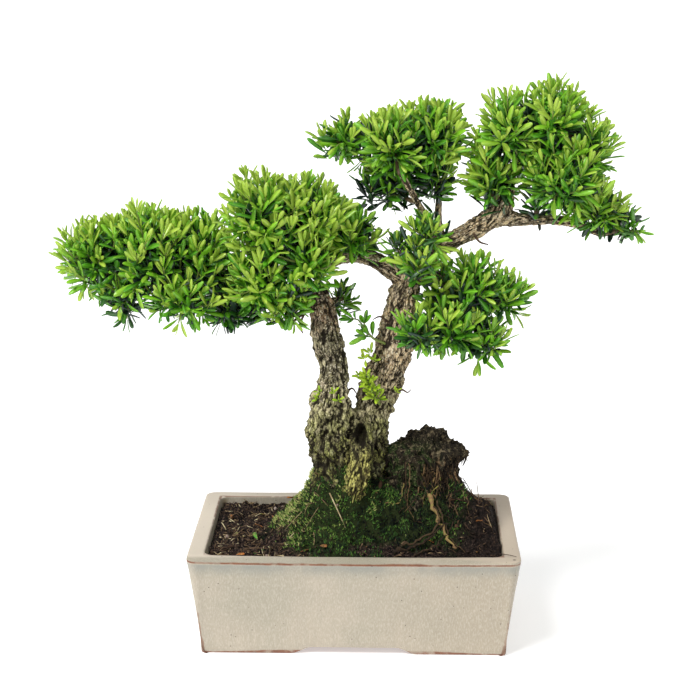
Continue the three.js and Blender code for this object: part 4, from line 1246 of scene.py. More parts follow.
# %% Lobes
HEADS = {
    "foliage_left": (11, 0.0, [
        (-211, 0, 315, 39, 40, 35), (-169, -14, 319, 40, 44, 44), (-128, -4, 312, 36, 44, 46),
        (-166, 40, 310, 40, 34, 36), (-140, -36, 288, 36, 32, 28), (-106, -20, 280, 28, 28, 24),
        (-188, -14, 284, 24, 26, 22)]),
    "foliage_left_middle": (12, -0.1, [
        (-75, -30, 356, 35, 38, 38), (-40, -12, 352, 36, 42, 36), (-3, -4, 334, 26, 32, 26),
        (-74, -36, 306, 32, 34, 36), (-40, -40, 318, 28, 28, 30), (-46, 32, 334, 40, 36, 34),
        (-58, -34, 281, 27, 24, 20), (-88, -24, 278, 20, 20, 16)]),
    "foliage_top_middle": (13, -0.05, [
        (-8, 0, 413, 32, 30, 21), (27, -8, 412, 34, 38, 31), (64, 2, 417, 32, 36, 34),
        (28, 12, 382, 30, 28, 27), (61, 10, 381, 23, 30, 28), (40, 42, 406, 38, 32, 30),
        (11, 2, 372, 20, 18, 17), (38, 6, 369, 19, 20, 15)]),
    "foliage_top_right": (14, 0.0, [
        (124, -8, 425, 29, 36, 33), (160, -2, 430, 34, 40, 32), (186, 0, 406, 28, 38, 33),
        (168, -22, 384, 37, 36, 30), (198, -6, 357, 28, 32, 25), (112, 2, 386, 28, 32, 30),
        (160, 42, 402, 42, 34, 35), (221, -2, 344, 20, 20, 17), (110, -8, 369, 14, 16, 16),
        (148, 0, 361, 20, 22, 14)]),
    "foliage_low_right": (15, 0.08, [
        (97, -10, 295, 33, 32, 29), (122, 0, 287, 23, 28, 24), (76, -28, 264, 34, 30, 27),
        (104, -16, 251, 26, 26, 23), (50, -44, 263, 23, 22, 22), (94, 26, 272, 32, 30, 25),
        (70, -14, 296, 20, 20, 18)]),
    "foliage_front": (16, 0.0, [
        (49, -38, 318, 21, 22, 21), (58, -28, 342, 20, 20, 23), (34, -25, 326, 16, 18, 17)]),
    "foliage_inner": (17, -0.1, [(-13, 17, 278, 18, 18, 18)]),
}
# Spots below and inside the heads whose leaves are painted dark: partly old leaves, partly painted shade.
OLD_AND_SHADED_SPOTS = np.array([
    (-135, -10, 256, 34), (-175, -10, 272, 30), (-96, -20, 262, 26), (-104, -10, 300, 26), (8, 0, 364, 29),
    (46, 0, 378, 27), (192, 0, 336, 24), (144, -2, 362, 22), (98, -16, 268, 18),
])

# %% Shoot tips over the lobes
LINK_REACH = 0.85
LINK_SHARE = 0.95
TRIES_PER_EGG = 420
GOLDEN_TURN = 2.399963
SHOOT_SPACING = 12.3
DEEP_SPACING = SHOOT_SPACING * 1.35
LEAF_REACH = 10.5
DEEP_REACH = LEAF_REACH + 11


def linked(lobes):
    """The lobes, and halfway between every two that overlap well one more, so that the head has no deep
    creases."""
    eggs = np.array(lobes, float)
    first, second = np.triu_indices(len(eggs), 1)
    apart = (eggs[first, :3] - eggs[second, :3]) / (eggs[first, 3:] + eggs[second, 3:])
    near = np.linalg.norm(apart, axis=1) < LINK_REACH
    links = (eggs[first] + eggs[second])[near] / 2
    links[:, 3:] *= LINK_SHARE
    return np.vstack([eggs, links])


def shoot_tips(eggs, spacing, level, draw):
    """Even points over the outer skin of overlapping eggs, each shrunk by a level in millimetres. A spiral
    of tries, each a golden angle round from the last, covers every egg. A try is dropped inside another
    egg, or nearer to a taken point than the spacing."""
    radii = np.maximum(eggs[:, 3:] - level, eggs[:, 3:] * 0.3)
    z = 1 - 2 * (np.arange(TRIES_PER_EGG) + 0.5) / TRIES_PER_EGG
    flat = np.sqrt(1 - z * z)
    kept, outward = np.empty((0, 3)), []
    for number, (middle, radius) in enumerate(zip(eggs[:, :3], radii)):
        angle = np.arange(TRIES_PER_EGG) * GOLDEN_TURN + draw.random(TRIES_PER_EGG) * 0.4
        ball = np.column_stack([flat * np.cos(angle), flat * np.sin(angle), z])
        tips = middle + ball * radius
        inside = np.linalg.norm((tips[:, None] - eggs[None, :, :3]) / radii, axis=-1) < 0.98
        inside[:, number] = False
        outer = ~inside.any(1)
        for tip, normal in zip(tips[outer], unit(ball / radius)[outer]):
            if len(kept) == 0 or np.linalg.norm(kept - tip, axis=1).min() > spacing:
                kept = np.vstack([kept, tip])
                outward.append(normal)
    return kept, np.array(outward)


# %% Leaves in pairs down a shoot
LEAF_LENGTH = 18.8
LEAF_WIDTH = 2.15
PAIR_STEP = 4.2
PAIR_TILT = np.radians([16, 31, 43, 52, 60, 66])
PAIR_LENGTH = np.array([0.6, 0.86, 1.0, 1.02, 0.98, 0.9])


def leaves_on(tips, axes, sunny, age, draw, size=1.0, step=PAIR_STEP, pairs=len(PAIR_TILT)):
    """Leaf pairs down each shoot. The pair k from the tip stands k steps down the stem, turned a quarter of
    a turn from the pair above, and leans out by its tilt. Each blade twists its upper face to the sunny
    side."""
    count = len(tips)
    side, third = square_to(axes)
    spin = draw.uniform(0, 2 * np.pi, count)
    parts = []
    for pair, half in itertools.product(range(pairs), (0, np.pi)):
        turn = spin + pair * np.pi / 2 + half + draw.normal(0, 0.16, count)
        outward = spokes(turn, side, third)
        tilt = PAIR_TILT[pair] + draw.normal(0, 0.13, count)
        along = np.cos(tilt)[:, None] * axes + np.sin(tilt)[:, None] * outward + (0, 0, 0.15)
        foot = tips - axes * (step * pair * size) + outward * 0.5
        face = axes * 0.45 + sunny * 0.75 + (0, 0, 0.3) + draw.normal(0, 0.3, (count, 3))
        length = LEAF_LENGTH * size * PAIR_LENGTH[pair] * draw.uniform(0.8, 1.16, count)
        width = LEAF_WIDTH * size ** 0.6 * PAIR_LENGTH[pair] ** 0.5 * draw.uniform(0.86, 1.18, count)
        fold = draw.uniform(0.1, 0.6, count)
        droop = draw.normal(0.06, 0.08, count)
        leaf_age = np.clip(age + 0.13 * pair - 0.27 + draw.normal(0, 0.12, count), 0, 1)
        parts.append((foot, unit(along), face, length, width, fold, droop, leaf_age))
    return gathered(parts)


def gathered(sets):
    """Sets of the same columns as one set of longer columns."""
    return [np.concatenate(column) for column in zip(*sets)]


# %% One head
SHOOT_RADII = np.linspace(1.1, 0.5, 5)
LIMB_RADII = np.linspace(2.6, 1.6, 8)
SHOOT_AGE, LIMB_AGE, DEEP_AGE_AND_SHADE = 0.45, 0.9, 0.92


def old_and_shaded(points):
    """0 to 1: how near a point is to one of the spots, below and inside the heads, where the leaves are
    painted
    dark: partly old dark leaves, partly painted shade."""
    near = np.linalg.norm(points[:, None] - OLD_AND_SHADED_SPOTS[None, :, :3], axis=-1) / OLD_AND_SHADED_SPOTS[:, 3]
    return 1 - ease(near.min(1), 0.5, 1.1)


def head_limbs(middles, draw):
    """Twigs that join each lobe's middle to the nearest wood or to a middle that is joined already."""
    trunk = SKELETON[:, :3]
    starts, ends, joined = [], [], trunk
    for middle in middles[np.argsort(np.linalg.norm(middles[:, None] - trunk[None], axis=-1).min(1))]:
        starts.append(joined[np.linalg.norm(joined - middle, axis=1).argmin()])
        ends.append(middle)
        joined = np.vstack([joined, middle])
    starts, ends = np.array(starts), np.array(ends)
    sag = (starts + ends) / 2 + draw.normal(0, 2, starts.shape) - (0, 0, 3)
    return bent_lines(starts, sag, ends, len(LIMB_RADII))


def build_head(lobes, seed, tone):
    """One head: twigs from the wood to each lobe's middle, shoots from there to the surface, leaves on the
    shoots, and further in a thinner layer of leaves painted nearly black, partly as old leaves and partly as
    painted shade inside the head."""
    draw = np.random.default_rng(seed)
    eggs = linked(lobes)
    middles = np.array(lobes, float)[:, :3]
    tips, outward = shoot_tips(eggs, SHOOT_SPACING, LEAF_REACH, draw)
    depth = draw.normal(0, 3.0, len(tips))
    tips = tips - outward * depth[:, None] + draw.normal(0, 1.2, tips.shape)
    lower = ease(-outward[:, 2], 0.0, 0.8)
    lift = np.column_stack([np.zeros((len(tips), 2)), 0.95 - 0.75 * lower])
    axes = unit(outward + lift + draw.normal(0, 0.18, tips.shape))
    owner = np.linalg.norm(tips[:, None] - middles[None], axis=-1).argmin(1)
    hub = middles[owner] * 0.7 + tips * 0.3 - (0, 0, 3)
    span = np.linalg.norm(tips - hub, axis=1, keepdims=True)
    stems = bent_lines(hub, tips - axes * span * 0.6, tips, len(SHOOT_RADII))
    limbs = head_limbs(middles, draw)
    # Painted shade with the age: shoots turned down, set deeper or near the old and shaded spots get a darker
    # colour, partly as older leaves and partly as painted shade under and inside the head.
    age = 0.22 + tone + 0.3 * lower + 0.035 * depth + 0.5 * old_and_shaded(tips) + 0.1 * draw.normal(0, 1, len(tips))
    blades = leaves_on(tips, axes, outward, np.clip(age, 0, 1), draw)
    # The deep layer gets the darkest colour: partly old leaves, partly painted shade inside the head.
    deep_tips, deep_out = shoot_tips(eggs, DEEP_SPACING, DEEP_REACH, draw)
    deep_axes = unit(deep_out + (0, 0, 0.4) + draw.normal(0, 0.35, deep_out.shape))
    deep = leaves_on(deep_tips, deep_axes, deep_out, np.full(len(deep_tips), DEEP_AGE_AND_SHADE), draw)
    return grown([
        leafy(gathered([blades, deep])),
        woody(tubes(stems, SHOOT_RADII[None], 4), SHOOT_AGE),
        woody(tubes(limbs, LIMB_RADII[None], 6), LIMB_AGE),
    ])


# %% [markdown]
# ### Leaf finish
# Young leaves at the tips are yellow-green and grown ones mid green. Leaves inside and below the heads are
# painted dark and bluish, nearly black at the last stops: partly old leaves, partly painted shade. The upper
# face is glossy with a pale line along the middle; the lower face is paler and dull. A little light goes
# through the blade, which a Translucent shader mixed in by its own share gives.

# %% Leaf finish
def leaf_finish(name, yellow):
    leaf = Finish(name, Specular_IOR_Level=0.5, Coat_Weight=0.4, Coat_Roughness=0.2)
    age, wooden = leaf.value("age"), leaf.value("woody")
    across, along, under = (leaf.value(key) for key in ("across", "along", "under"))
    # The dark end of the ramp, for leaves inside and under the heads, is partly old leaves and partly painted
    # shade.
    blade = leaf.ramp(
        (age + (leaf.noise(3.0, 2) - 0.5) * 0.14 - 0.08 * along).clamped(),
        (0.0, (212, 242, 92)), (0.2, (150, 222, 42)), (0.42, (92, 180, 26)), (0.66, (42, 114, 24)),
        (0.86, (18, 50, 34)), (1.0, (10, 26, 24)))
    rib = 1 - (across * across).between(0.0, 0.05)
    twig = leaf.mix(age.between(0.6, 0.85), (122, 138, 62), (106, 86, 62))
    leaf.colour(leaf.coats(
        blade,
        (yellow, (240, 255, 50)),
        (rib * (1 - age) * 0.3, (214, 240, 120)),
        (under * 0.45, leaf.mix(age, (150, 190, 84), (80, 106, 94))),
        (wooden, twig),
    ))
    leaf.roughness(0.3 + 0.3 * under + 0.4 * wooden)
    through = leaf.node("ShaderNodeBsdfTranslucent", {}, {"Color": srgb(176, 220, 60)})
    share = (1 - age) * (1 - wooden) * 0.34
    sockets = {0: share, 1: leaf.shader.outputs[0], 2: through.outputs[0]}
    blend = leaf.node("ShaderNodeMixShader", {}, sockets)
    leaf.tree.links.new(blend.outputs[0], leaf.output.inputs["Surface"])
    return leaf.material


LEAF_LOOK = leaf_finish("boxwood_leaf", 0)
YOUNG_LOOK = leaf_finish("young_boxwood_leaf", 0.45)

# %% The seven heads
for node, (seed, tone, lobes) in HEADS.items():
    head = new_piece(node.replace("foliage", "leaves"), *build_head(lobes, seed, tone))
    finished(head, LEAF_LOOK, "leaf", node)

# %% [markdown]
# ## Roots, litter and pebbles
# Thin dead roots hang down the stump and run on over the ground, a few of them covered in yellow-green
# lichen. Bare soil is strewn with needles, twig ends, fallen leaves and pebbles. Each root is a tube that
# follows one height field, the higher of the ground and the stump; everything else is scattered on the
# ground by a seeded rule.

# %% Finish by tone
def toned_finish(name, roughness, *stops):
    """A matt finish whose colour follows each piece's own tone, with a little unevenness."""
    look = Finish(name, Roughness=roughness, Specular_IOR_Level=0.2)
    shade = (look.value("tone") + (look.noise(2.5, 3) - 0.5) * 0.7).clamped()
    look.colour(look.ramp(shade, *stops))
    look.bump(look.noise(1.2, 3), 0.4)
    return look.material


STICK_TONES = [
    (0.0, (30, 22, 20)), (0.35, (70, 54, 44)), (0.6, (120, 96, 72)), (0.8, (176, 152, 114)),
    (1.0, (226, 212, 170))]

# %% Thin roots over the stump
STRAND_COUNT = 12
STRAND_STATIONS = 20
STRAND_MIDDLE = np.array([60.0, 3.0, 120.0])
STUMP_REACHES = np.array([8, 17, 28, 34, 34.6, 35.2, 36, 42, 44.0])
STUMP_HEIGHTS = np.array([168, 161, 153, 146, 138, 128, 116, 100, 80.0])
LONG_ROOTS = [
    [(62, -33, 121), (65, -39, 113), (71, -49, 102), (76, -60, 93), (84, -71, 87)],
    [(67, -35, 117), (72, -43, 107), (77, -55, 96), (83, -64, 89), (91, -74, 84)],
    [(32, -76, 86), (46, -73, 88), (58, -67, 92), (68, -58, 97), (74, -50, 104)],
    [(50, -78, 84), (60, -73, 87), (70, -66, 91), (78, -56, 96), (82, -48, 104)],
    [(40, -72, 89), (52, -68, 93), (64, -60, 97), (70, -50, 105), (66, -40, 114)],
]
LONG_ROOT_RADII = [1.9, 0.9, 1.4, 0.9, 1.1]
LONG_ROOT_TONES = [0.57, 0.25, 0.1, 0.15, 0.25]


def strand_lines(draw):
    """Each root runs out from the stump's middle in its own direction. Its height is the higher of the
    stump's at that reach and the ground's; then the line is cut into stations an equal length apart."""
    back = STRAND_COUNT // 4
    turn = np.concatenate([draw.uniform(-165, 35, STRAND_COUNT - back), draw.uniform(35, 195, back)])
    lines = []
    for angle in np.radians(turn):
        reach = np.linspace(draw.uniform(32, 38), draw.uniform(44, 66), 160)
        wander = draw.uniform(-0.7, 0.7) * ((reach - reach[0]) / 40)
        bend = angle + wander + 0.1 * np.sin(reach / draw.uniform(3, 6))
        x = np.clip(STRAND_MIDDLE[0] + reach * np.cos(bend), -INSIDE_LENGTH + 4, INSIDE_LENGTH - 2)
        y = np.clip(STRAND_MIDDLE[1] + reach * np.sin(bend) * 0.95, -INSIDE_DEPTH + 3, INSIDE_DEPTH - 3)
        height = np.maximum(np.interp(reach, STUMP_REACHES, STUMP_HEIGHTS), ground(x, y) + 0.3)
        place = np.column_stack([x, y, height])
        place = place + unit((place - STRAND_MIDDLE) * (1, 1, 0.4)) * draw.uniform(0.0, 2.0)
        length = length_along(place)
        steps = np.linspace(0, length[-1], STRAND_STATIONS)
        lines.append(np.column_stack([np.interp(steps, length, column) for column in place.T]))
    return np.array(lines)


def long_root_lines():
    """The larger roots at the front, smoothed and cut into as many stations as the others."""
    runs = [smooth_run(stations, 1.0) for stations in LONG_ROOTS]
    return np.array([run[np.linspace(0, len(run) - 1, STRAND_STATIONS).astype(int)] for run in runs])


def root_strands(draw):
    """Long thin roots, made knobbly by noise in their radius."""
    lines = np.concatenate([long_root_lines(), strand_lines(draw)])
    flat = lines.reshape(-1, 3)
    lines = (flat + drift(flat, 5, 72) * 2.8).reshape(lines.shape)
    thick = np.concatenate([LONG_ROOT_RADII, draw.uniform(0.35, 0.7, STRAND_COUNT)])
    taper = np.linspace(1.0, 0.5, STRAND_STATIONS)
    knots = 1 + 0.75 * smooth_noise(flat, 3.5, 75).reshape(lines.shape[:2])
    tone = np.concatenate([LONG_ROOT_TONES, draw.beta(1.2, 3.4, STRAND_COUNT)])
    return toned(tubes(lines, thick[:, None] * taper * knots, 6), tone)


# %% Shreds of dead wood
FIBRES = 640
SHAGGY_PATCH = np.array([65.0, 118.0])
SHAGGY_SIZE = np.array([13.0, 17.0])
FIBRE_TAPER = np.array([0.7, 1.0, 0.9, 0.7, 0.35])


def fibres(draw):
    """Short shreds that hang down the stump's sides, each lying along the surface where it is rooted."""
    places, normals = surface_of(stump.data)
    shaggy = np.exp(-(((places[:, [0, 2]] - SHAGGY_PATCH) / SHAGGY_SIZE) ** 2).sum(1)) * (places[:, 1] < 0)
    fit = ((places[:, 2] > 86) & (places[:, 2] < 150)) * (0.1 + shaggy)
    chosen = draw.choice(len(places), FIBRES, p=fit / fit.sum())
    place, normal = places[chosen], normals[chosen]
    down = unit(draw.normal(0, 0.4, place.shape) - (0, 0, 1) + (place - STRAND_MIDDLE) * (0.006, 0.006, 0))
    down = unit(down - normal * (down * normal).sum(1, keepdims=True) * 0.85)
    reach = draw.gamma(4.0, 2.0, (FIBRES, 1)) + 3
    start = place + normal * 0.3
    bend = start + down * reach * 0.5 + normal * draw.uniform(0.3, 1.6, (FIBRES, 1))
    end = start + down * reach + normal * draw.uniform(-0.8, 1.2, (FIBRES, 1))
    thick = draw.uniform(0.35, 0.95, (FIBRES, 1)) * FIBRE_TAPER
    dim = 0.26 + 0.45 * (1 - ease(place[:, 0], 46, 60))
    tone = draw.beta(1.3, 2.6, FIBRES) + 0.3 * smooth_noise(place, 16, 76) + 0.5 * shaggy[chosen] - dim
    lines = bent_lines(start, bend, end, len(FIBRE_TAPER))
    return toned(tubes(lines, thick, 3), np.clip(tone, 0, 0.7))


root_draw = np.random.default_rng(71)
strands = new_piece("thin_roots", *grown([root_strands(root_draw), fibres(root_draw)]))
root_look = toned_finish(
    "dead_root", 0.9, (0.0, (28, 22, 17)), (0.35, (76, 60, 42)), (0.55, (138, 110, 76)),
    (0.75, (140, 136, 66)), (1.0, (200, 196, 118)))
finished(strands, root_look, "dead_wood")

# %% Needles and sticks on the ground
NEEDLES = 1500
NEEDLE_TAPER = np.array([1.0, 0.9, 0.75, 0.45])
STICK_TAPER = np.array([1.0, 0.9, 0.8, 0.5])
LOOSE_STICKS = np.array([
    (-21, -43, 125, -7, -58, 99, 0.7, 0.85), (118, -77, 85, 132, -83, 84.6, 0.4, 0.3),
    (-30, -40, 112, -40, -52, 98, 0.3, 0.7), (-34, -30, 122, -22, -44, 114, 0.35, 0.6),
    (-44, -34, 106, -58, -40, 92, 0.35, 0.8), (-90, -60, 82, -70, -66, 84, 0.5, 0.5)])


def litter_places(count, draw):
    """Places on the ground, thickest on the bare soil at both ends, thinner on the moss."""
    x = draw.uniform(-117, 118, count * 8)
    y = draw.uniform(-78, 78, count * 8)
    left_front = ease(-x, 20, 50) * ease(-y, -20, 20)
    weight = 0.14 + 0.6 * (1 - moss_cover(x, y)) + 1.6 * ease(x, 66, 100) + 0.3 * left_front
    chosen = np.flatnonzero(draw.random(len(x)) < weight * 0.9)[:count]
    return x[chosen], y[chosen]


def needles(draw):
    """Bent thin sticks. Both ends lie on the ground, or one of them sticks up from it."""
    x, y = litter_places(NEEDLES, draw)
    count = len(x)
    turn = draw.uniform(0, 2 * np.pi, count)
    reach = draw.gamma(2.6, 1.25, count) + 1.0
    step = np.column_stack([np.cos(turn), np.sin(turn)]) * reach[:, None]
    inside = np.array([INSIDE_LENGTH - 2, INSIDE_DEPTH - 3])
    root = np.column_stack([x, y])
    start, end = np.clip(root, -inside, inside), np.clip(root + step, -inside, inside)
    lift = draw.uniform(0.2, 1.8, count)
    tip_lift = lift + reach * np.clip(draw.normal(0.0, 0.42, count), 0, 0.9)
    start = np.column_stack([start, ground(*start.T) + lift])
    end = np.column_stack([end, ground(*end.T) + tip_lift])
    bend = (start + end) / 2 + draw.normal(0, 1, start.shape) * (reach * 0.14)[:, None]
    thick = draw.uniform(0.25, 0.62, count)[:, None] * NEEDLE_TAPER
    tone = np.clip(draw.beta(0.75, 2.4, count) + 0.3 * ease(-start[:, 0], 20, 50), 0, 1)
    return toned(tubes(bent_lines(start, bend, end, len(NEEDLE_TAPER)), thick, 3), tone)


def loose_sticks():
    """A few larger sticks: both ends, thickness and tone are given."""
    start, end, thick, tone = np.split(LOOSE_STICKS, [3, 6, 7], axis=1)
    lines = bent_lines(start, start * 0.5 + end * 0.5 + (0, 0, 1), end, len(STICK_TAPER))
    return toned(tubes(lines, thick * STICK_TAPER, 3), tone[:, 0])


# %% Fallen leaves and pebbles
FALLEN_LEAVES = 44
PEBBLES = 22
PEBBLE_RINGS, PEBBLE_SIDES = 4, 7


def fallen_leaves(draw):
    x, y = litter_places(FALLEN_LEAVES, draw)
    count = len(x)
    turn = draw.uniform(0, 2 * np.pi, count)
    along = unit(np.column_stack([np.cos(turn), np.sin(turn), draw.normal(0.05, 0.2, count)]))
    face = unit(draw.normal(0, 0.35, (count, 3)) + (0, 0, 1))
    root = np.column_stack([x, y, ground(x, y) + draw.uniform(1.4, 2.6, count)])
    length = draw.uniform(6, 14, count)
    shape = (draw.uniform(1.6, 2.6, count), draw.uniform(0, 0.5, count), draw.normal(0.12, 0.12, count))
    return toned(leaf_blades(root, along, face, length, *shape), draw.uniform(0, 1, count))


def pebbles(draw):
    """Each is four rings of seven points on a squashed ball, pushed about a little."""
    x, y = litter_places(PEBBLES, draw)
    count = len(x)
    size = draw.gamma(5.0, 0.17, count) + 0.4
    up = np.linspace(-0.82, 0.82, PEBBLE_RINGS)[:, None]
    angle = round_angles(PEBBLE_SIDES)
    across = np.sqrt(1 - up ** 2)
    ring = np.stack([across * np.cos(angle), across * np.sin(angle), np.repeat(up, PEBBLE_SIDES, 1)], -1)
    scale = size[:, None, None, None] * draw.uniform(0.7, 1.25, (count, 1, 1, 3))
    middle = np.column_stack([x, y, ground(x, y) + size * 0.5])
    uneven = draw.uniform(0.9, 1.1, (count, PEBBLE_RINGS, PEBBLE_SIDES, 1))
    rings = middle[:, None, None] + ring[None] * scale * uneven
    ends = middle[:, None] + np.array([[0, 0, -1], [0, 0, 1]]) * scale[:, 0]
    return toned(skins(rings, ends), draw.uniform(0, 1, count))


# %% Litter in place
litter_draw = np.random.default_rng(81)
stick_look = toned_finish("dry_stick", 0.85, *STICK_TONES)
dry_leaf_look = toned_finish(
    "dry_leaf", 0.7, (0.0, (40, 30, 24)), (0.45, (84, 58, 40)), (0.7, (140, 100, 64)), (0.8, (190, 104, 38)),
    (0.88, (178, 156, 104)), (0.96, (62, 112, 42)), (1.0, (96, 160, 60)))
stone_look = toned_finish(
    "pebble", 0.8, (0.0, (48, 42, 36)), (0.6, (100, 90, 80)), (0.85, (156, 134, 122)), (1.0, (206, 190, 178)))
finished(new_piece("needles_and_twigs", *grown([needles(litter_draw), loose_sticks()])), stick_look, "soil")
finished(new_piece("fallen_leaves", *fallen_leaves(litter_draw)), dry_leaf_look, "soil")
finished(new_piece("pebbles", *pebbles(litter_draw)), stone_look, "soil")

# %% [markdown]
# ## Sprigs, dead twigs and sprouts on the wood
# Two sprigs grow straight out of the bark of the right trunk. They are shoots like the others, a little
# smaller, and the lower one is so young that it is almost yellow. Here and there a bare dead twig or a tiny
# sprout stands on the wood. All are made of the same tubes and leaves as the rest.

# %% Sprigs
SPRIGS = {
    "sprig_upper": (21, LEAF_LOOK, "leaf", 0.56, 0.85, 4, [
        (24, -8, 244), (14, -14, 250), (8, -17, 258), (2, -18, 266)]),
    "sprig_lower": (22, YOUNG_LOOK, "young_leaf", 0.2, 0.5, 11, [
        (20, -8, 192), (17, -16, 198), (13, -20, 208), (9, -21, 219)]),
}
GOLDEN_ANGLE = math.pi * (3 - math.sqrt(5))
SUNNY_SIDE = [0, -0.9, 0.4]


def build_sprig(stations, seed, age, size, count):
    """A main stem and short side shoots, each a golden angle round from the one below it and turned to the
    front. The last shoot is the stem's own tip."""
    draw = np.random.default_rng(seed)
    main = smooth_run(np.column_stack([stations, np.linspace(1.2, 0.7, len(stations))]), 2.0)
    _, side, third = (part[0] for part in sections(main[None, :, :3]))
    row = np.linspace(len(main) * 0.3, len(main) - 1, count).astype(int)
    outward = spokes(np.arange(count) * GOLDEN_ANGLE, side[row], third[row])
    rise = unit(main[-1, :3] - main[0, :3]) * 0.6
    axes = unit(rise + outward * np.linspace(1, 0.3, count)[:, None] - (0, 0.55, 0))
    tips = main[row, :3] + axes * 9 * size
    stems = bent_lines(main[row, :3], (main[row, :3] + tips) / 2, tips, 4)
    sunny = np.tile(SUNNY_SIDE, (count, 1))
    return grown([
        leafy(leaves_on(tips, axes, sunny, np.full(count, age), draw, size, PAIR_STEP * 0.6, 3)),
        woody(tubes(main[None, :, :3], main[None, :, 3], 6)),
        woody(tubes(stems, np.full((count, 4), 0.6), 5)),
    ])


for node, (seed, look, slot, age, size, count, stations) in SPRIGS.items():
    sprig = new_piece(node.replace("sprig", "shoot"), *build_sprig(stations, seed, age, size, count))
    finished(sprig, look, slot, node)

# %% Dead twigs and tiny sprouts
DEAD_TWIGS = [
    [(34, -4, 203, 1.3), (39, -6, 204, 0.9), (43, -7, 202, 0.6), (46, -8, 205, 0.3)],
    [(-8, -12, 203, 1.1), (-3, -14, 207, 0.8), (1, -14, 202, 0.4)],
    [(-44, -16, 270, 1.2), (-53, -20, 264, 1.1), (-58, -21, 267, 0.9), (-57, -22, 271, 0.9),
     (-52, -21, 266, 0.8), (-53, -20, 258, 0.5)],
    [(-36, -18, 294, 1.1), (-28, -21, 300, 0.8), (-19, -22, 305, 0.4)],
    [(-42, -20, 272, 1.0), (-46, -24, 262, 0.9), (-43, -26, 256, 0.5)],
    [(27, -9, 262, 1.2), (20, -14, 268, 0.8), (14, -16, 266, 0.4)],
    [(96, -2, 336, 1.3), (101, -8, 330, 0.9), (108, -10, 328, 0.5)],
    [(60, 0, 318, 1.2), (64, -8, 312, 0.8), (70, -10, 314, 0.4)],
]
DEAD_TWIG_TONE = 0.4
SPROUTS = [
    (-27, -18, 200, -0.5, 0.36), (-28, -19, 195, -0.7, 0.3), (-18, -31, 203, 0.0, 0.4),
    (-15, -31, 197, 0.3, 0.36), (13, -14, 233, -0.3, 0.5), (10, -14, 228, -0.6, 0.46),
    (15, -14, 227, 0.1, 0.42), (6, -16, 214, -0.7, 0.4), (31, -12, 200, 0.5, 0.3)]
SPROUT_AGE = 0.16


def dead_twigs():
    lines = [smooth_run(stations, 1.6)[None] for stations in DEAD_TWIGS]
    skin = together([tubes(line[..., :3], line[..., 3], 5) for line in lines])
    return toned(skin, [DEAD_TWIG_TONE])


def sprouts():
    """Very small shoots: a few pairs of leaves a third or a quarter of the full size."""
    draw = np.random.default_rng(91)
    sets = []
    for x, y, z, lean, size in SPROUTS:
        tips = np.array([[x, y, z]], float) + (lean * 5, -3, 5)
        axes = unit(np.array([[lean, -0.9, 0.6]]))
        age = np.array([SPROUT_AGE])
        sets.append(leaves_on(tips, axes, np.array([SUNNY_SIDE]), age, draw, size, PAIR_STEP * 0.4, 3))
    return leafy(gathered(sets))


finished(new_piece("dead_twigs", *dead_twigs()), toned_finish("dry_twig", 0.9, *STICK_TONES), "bark")
finished(new_piece("tiny_sprouts", *sprouts()), YOUNG_LOOK, "young_leaf")

# %% [markdown]
# ## Drain screens
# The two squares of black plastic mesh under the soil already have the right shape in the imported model, so
# those nodes stay, with a finish of their own.

# %% Screen finish
def screen_finish():
    screen = Finish("black_plastic", Roughness=0.6)
    dust = screen.noise(4, 3)
    screen.colour(screen.mix(dust.between(0.5, 0.8), (28, 28, 28), (70, 62, 52)))
    screen.roughness(0.5 + 0.3 * dust)
    screen.bump(screen.noise(0.8, 2), 0.1)
    return screen.material


screen_look = screen_finish()
for name in ("drain_screen_left", "drain_screen_right"):
    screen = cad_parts[name]
    screen.data.materials.clear()
    screen.data.materials.append(screen_look)

# %% [markdown]
# ## Studio
# The photograph has a white ground and light from all round, with a soft main light from the upper left. A
# wide white floor, a white sky and three soft sun lamps give that evenly, however far the floor runs. The
# standard view transform keeps white white.

# %% Floor, light and sky
FLOOR_HALF = 30000.0
FLOOR_DROP = 0.05
FLOOR_WHITE = (0.82, 0.82, 0.82, 1)
FLOOR_GLOW = 0.46
SKY_STRENGTH = 0.34
SUNS = {
    "key": (2.9, 27, (-0.5, -0.5, 0.8)),
    "fill": (0.3, 60, (0.75, -0.35, 0.5)),
    "top": (0.5, 40, (0.1, 0.5, 0.85)),
}


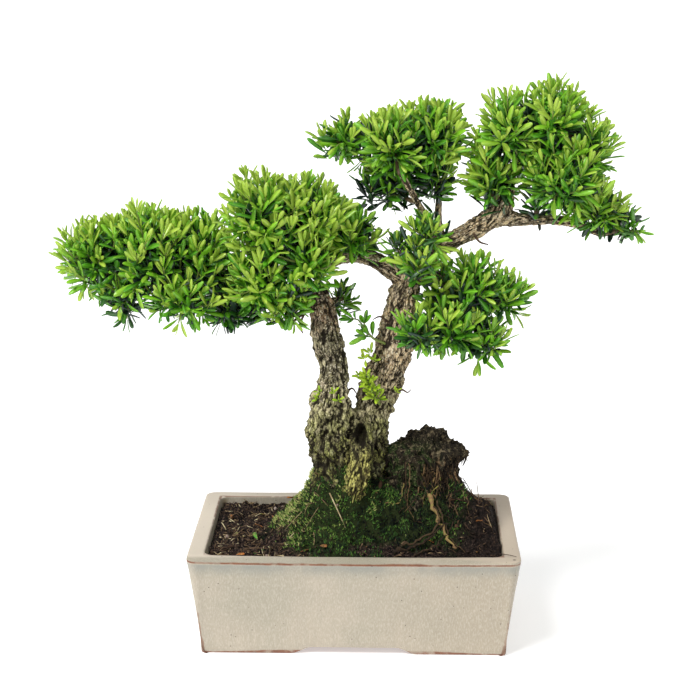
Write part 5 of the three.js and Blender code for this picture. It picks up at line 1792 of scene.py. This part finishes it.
def build_studio():
    corners = np.array([[-1, -1, 0], [1, -1, 0], [1, 1, 0], [-1, 1, 0]]) * FLOOR_HALF - (0, 0, FLOOR_DROP)
    floor = new_piece("studio_floor", (corners, np.array([[0, 1, 2, 3]])))
    look = Finish("white_floor", Roughness=0.9, Specular_IOR_Level=0.0, Emission_Strength=FLOOR_GLOW,
                  Base_Color=FLOOR_WHITE, Emission_Color=(1, 1, 1, 1))
    floor.data.materials.append(look.material)
    scene = bpy.context.scene
    for name, (strength, softness, direction) in SUNS.items():
        lamp = bpy.data.lights.new(name + "_sun", "SUN")
        lamp.energy = strength
        lamp.angle = math.radians(softness)
        holder = bpy.data.objects.new(name + "_sun", lamp)
        holder.rotation_euler = Vector(direction).to_track_quat("Z", "Y").to_euler()
        scene.collection.objects.link(holder)
    sky = bpy.data.worlds.new("white_sky")
    sky.use_nodes = True
    sky.node_tree.nodes["Background"].inputs[0].default_value = (1, 1, 1, 1)
    sky.node_tree.nodes["Background"].inputs[1].default_value = SKY_STRENGTH
    scene.world = sky
    scene.view_settings.view_transform = "Standard"


build_studio()

# %% [markdown]
# ## Camera
# The photograph was taken from a little above, about 1.8 m away, with a long lens. The camera's place and
# turn were worked out from the pot's eight corners, which are a known box.

# %% Camera
CAMERA_PLACE = np.array([31.0, -1726.0, 635.0])
LENS_IN_PIXELS = 2126.0
PHOTO_WIDTH = 700
SENSOR_WIDTH = 36.0
LOOK_DOWN, LOOK_TURN, LOOK_ROLL = (math.radians(angle) for angle in (13.0, -1.2, -0.14))


def build_camera():
    """The three axes of the camera from its turn, its dip and its roll, put into one matrix."""
    level = np.array([math.cos(LOOK_TURN), -math.sin(LOOK_TURN), 0])
    ahead = np.array([math.sin(LOOK_TURN), math.cos(LOOK_TURN), 0])
    forward = ahead * math.cos(LOOK_DOWN) - (0, 0, math.sin(LOOK_DOWN))
    down = np.cross(forward, level)
    right = math.cos(LOOK_ROLL) * level + math.sin(LOOK_ROLL) * down
    up = math.sin(LOOK_ROLL) * level - math.cos(LOOK_ROLL) * down
    data = bpy.data.cameras.new("photo_camera")
    data.sensor_width = SENSOR_WIDTH
    data.lens = LENS_IN_PIXELS / PHOTO_WIDTH * SENSOR_WIDTH
    data.clip_start = 0.01
    data.clip_end = 200
    camera = bpy.data.objects.new("photo_camera", data)
    place = (CAMERA_PLACE + POT_MIDDLE) * MM
    turned = Matrix(np.column_stack([right, up, -forward]).tolist()).to_4x4()
    camera.matrix_world = Matrix.Translation(place.tolist()) @ turned
    bpy.context.scene.collection.objects.link(camera)
    bpy.context.scene.camera = camera


build_camera()
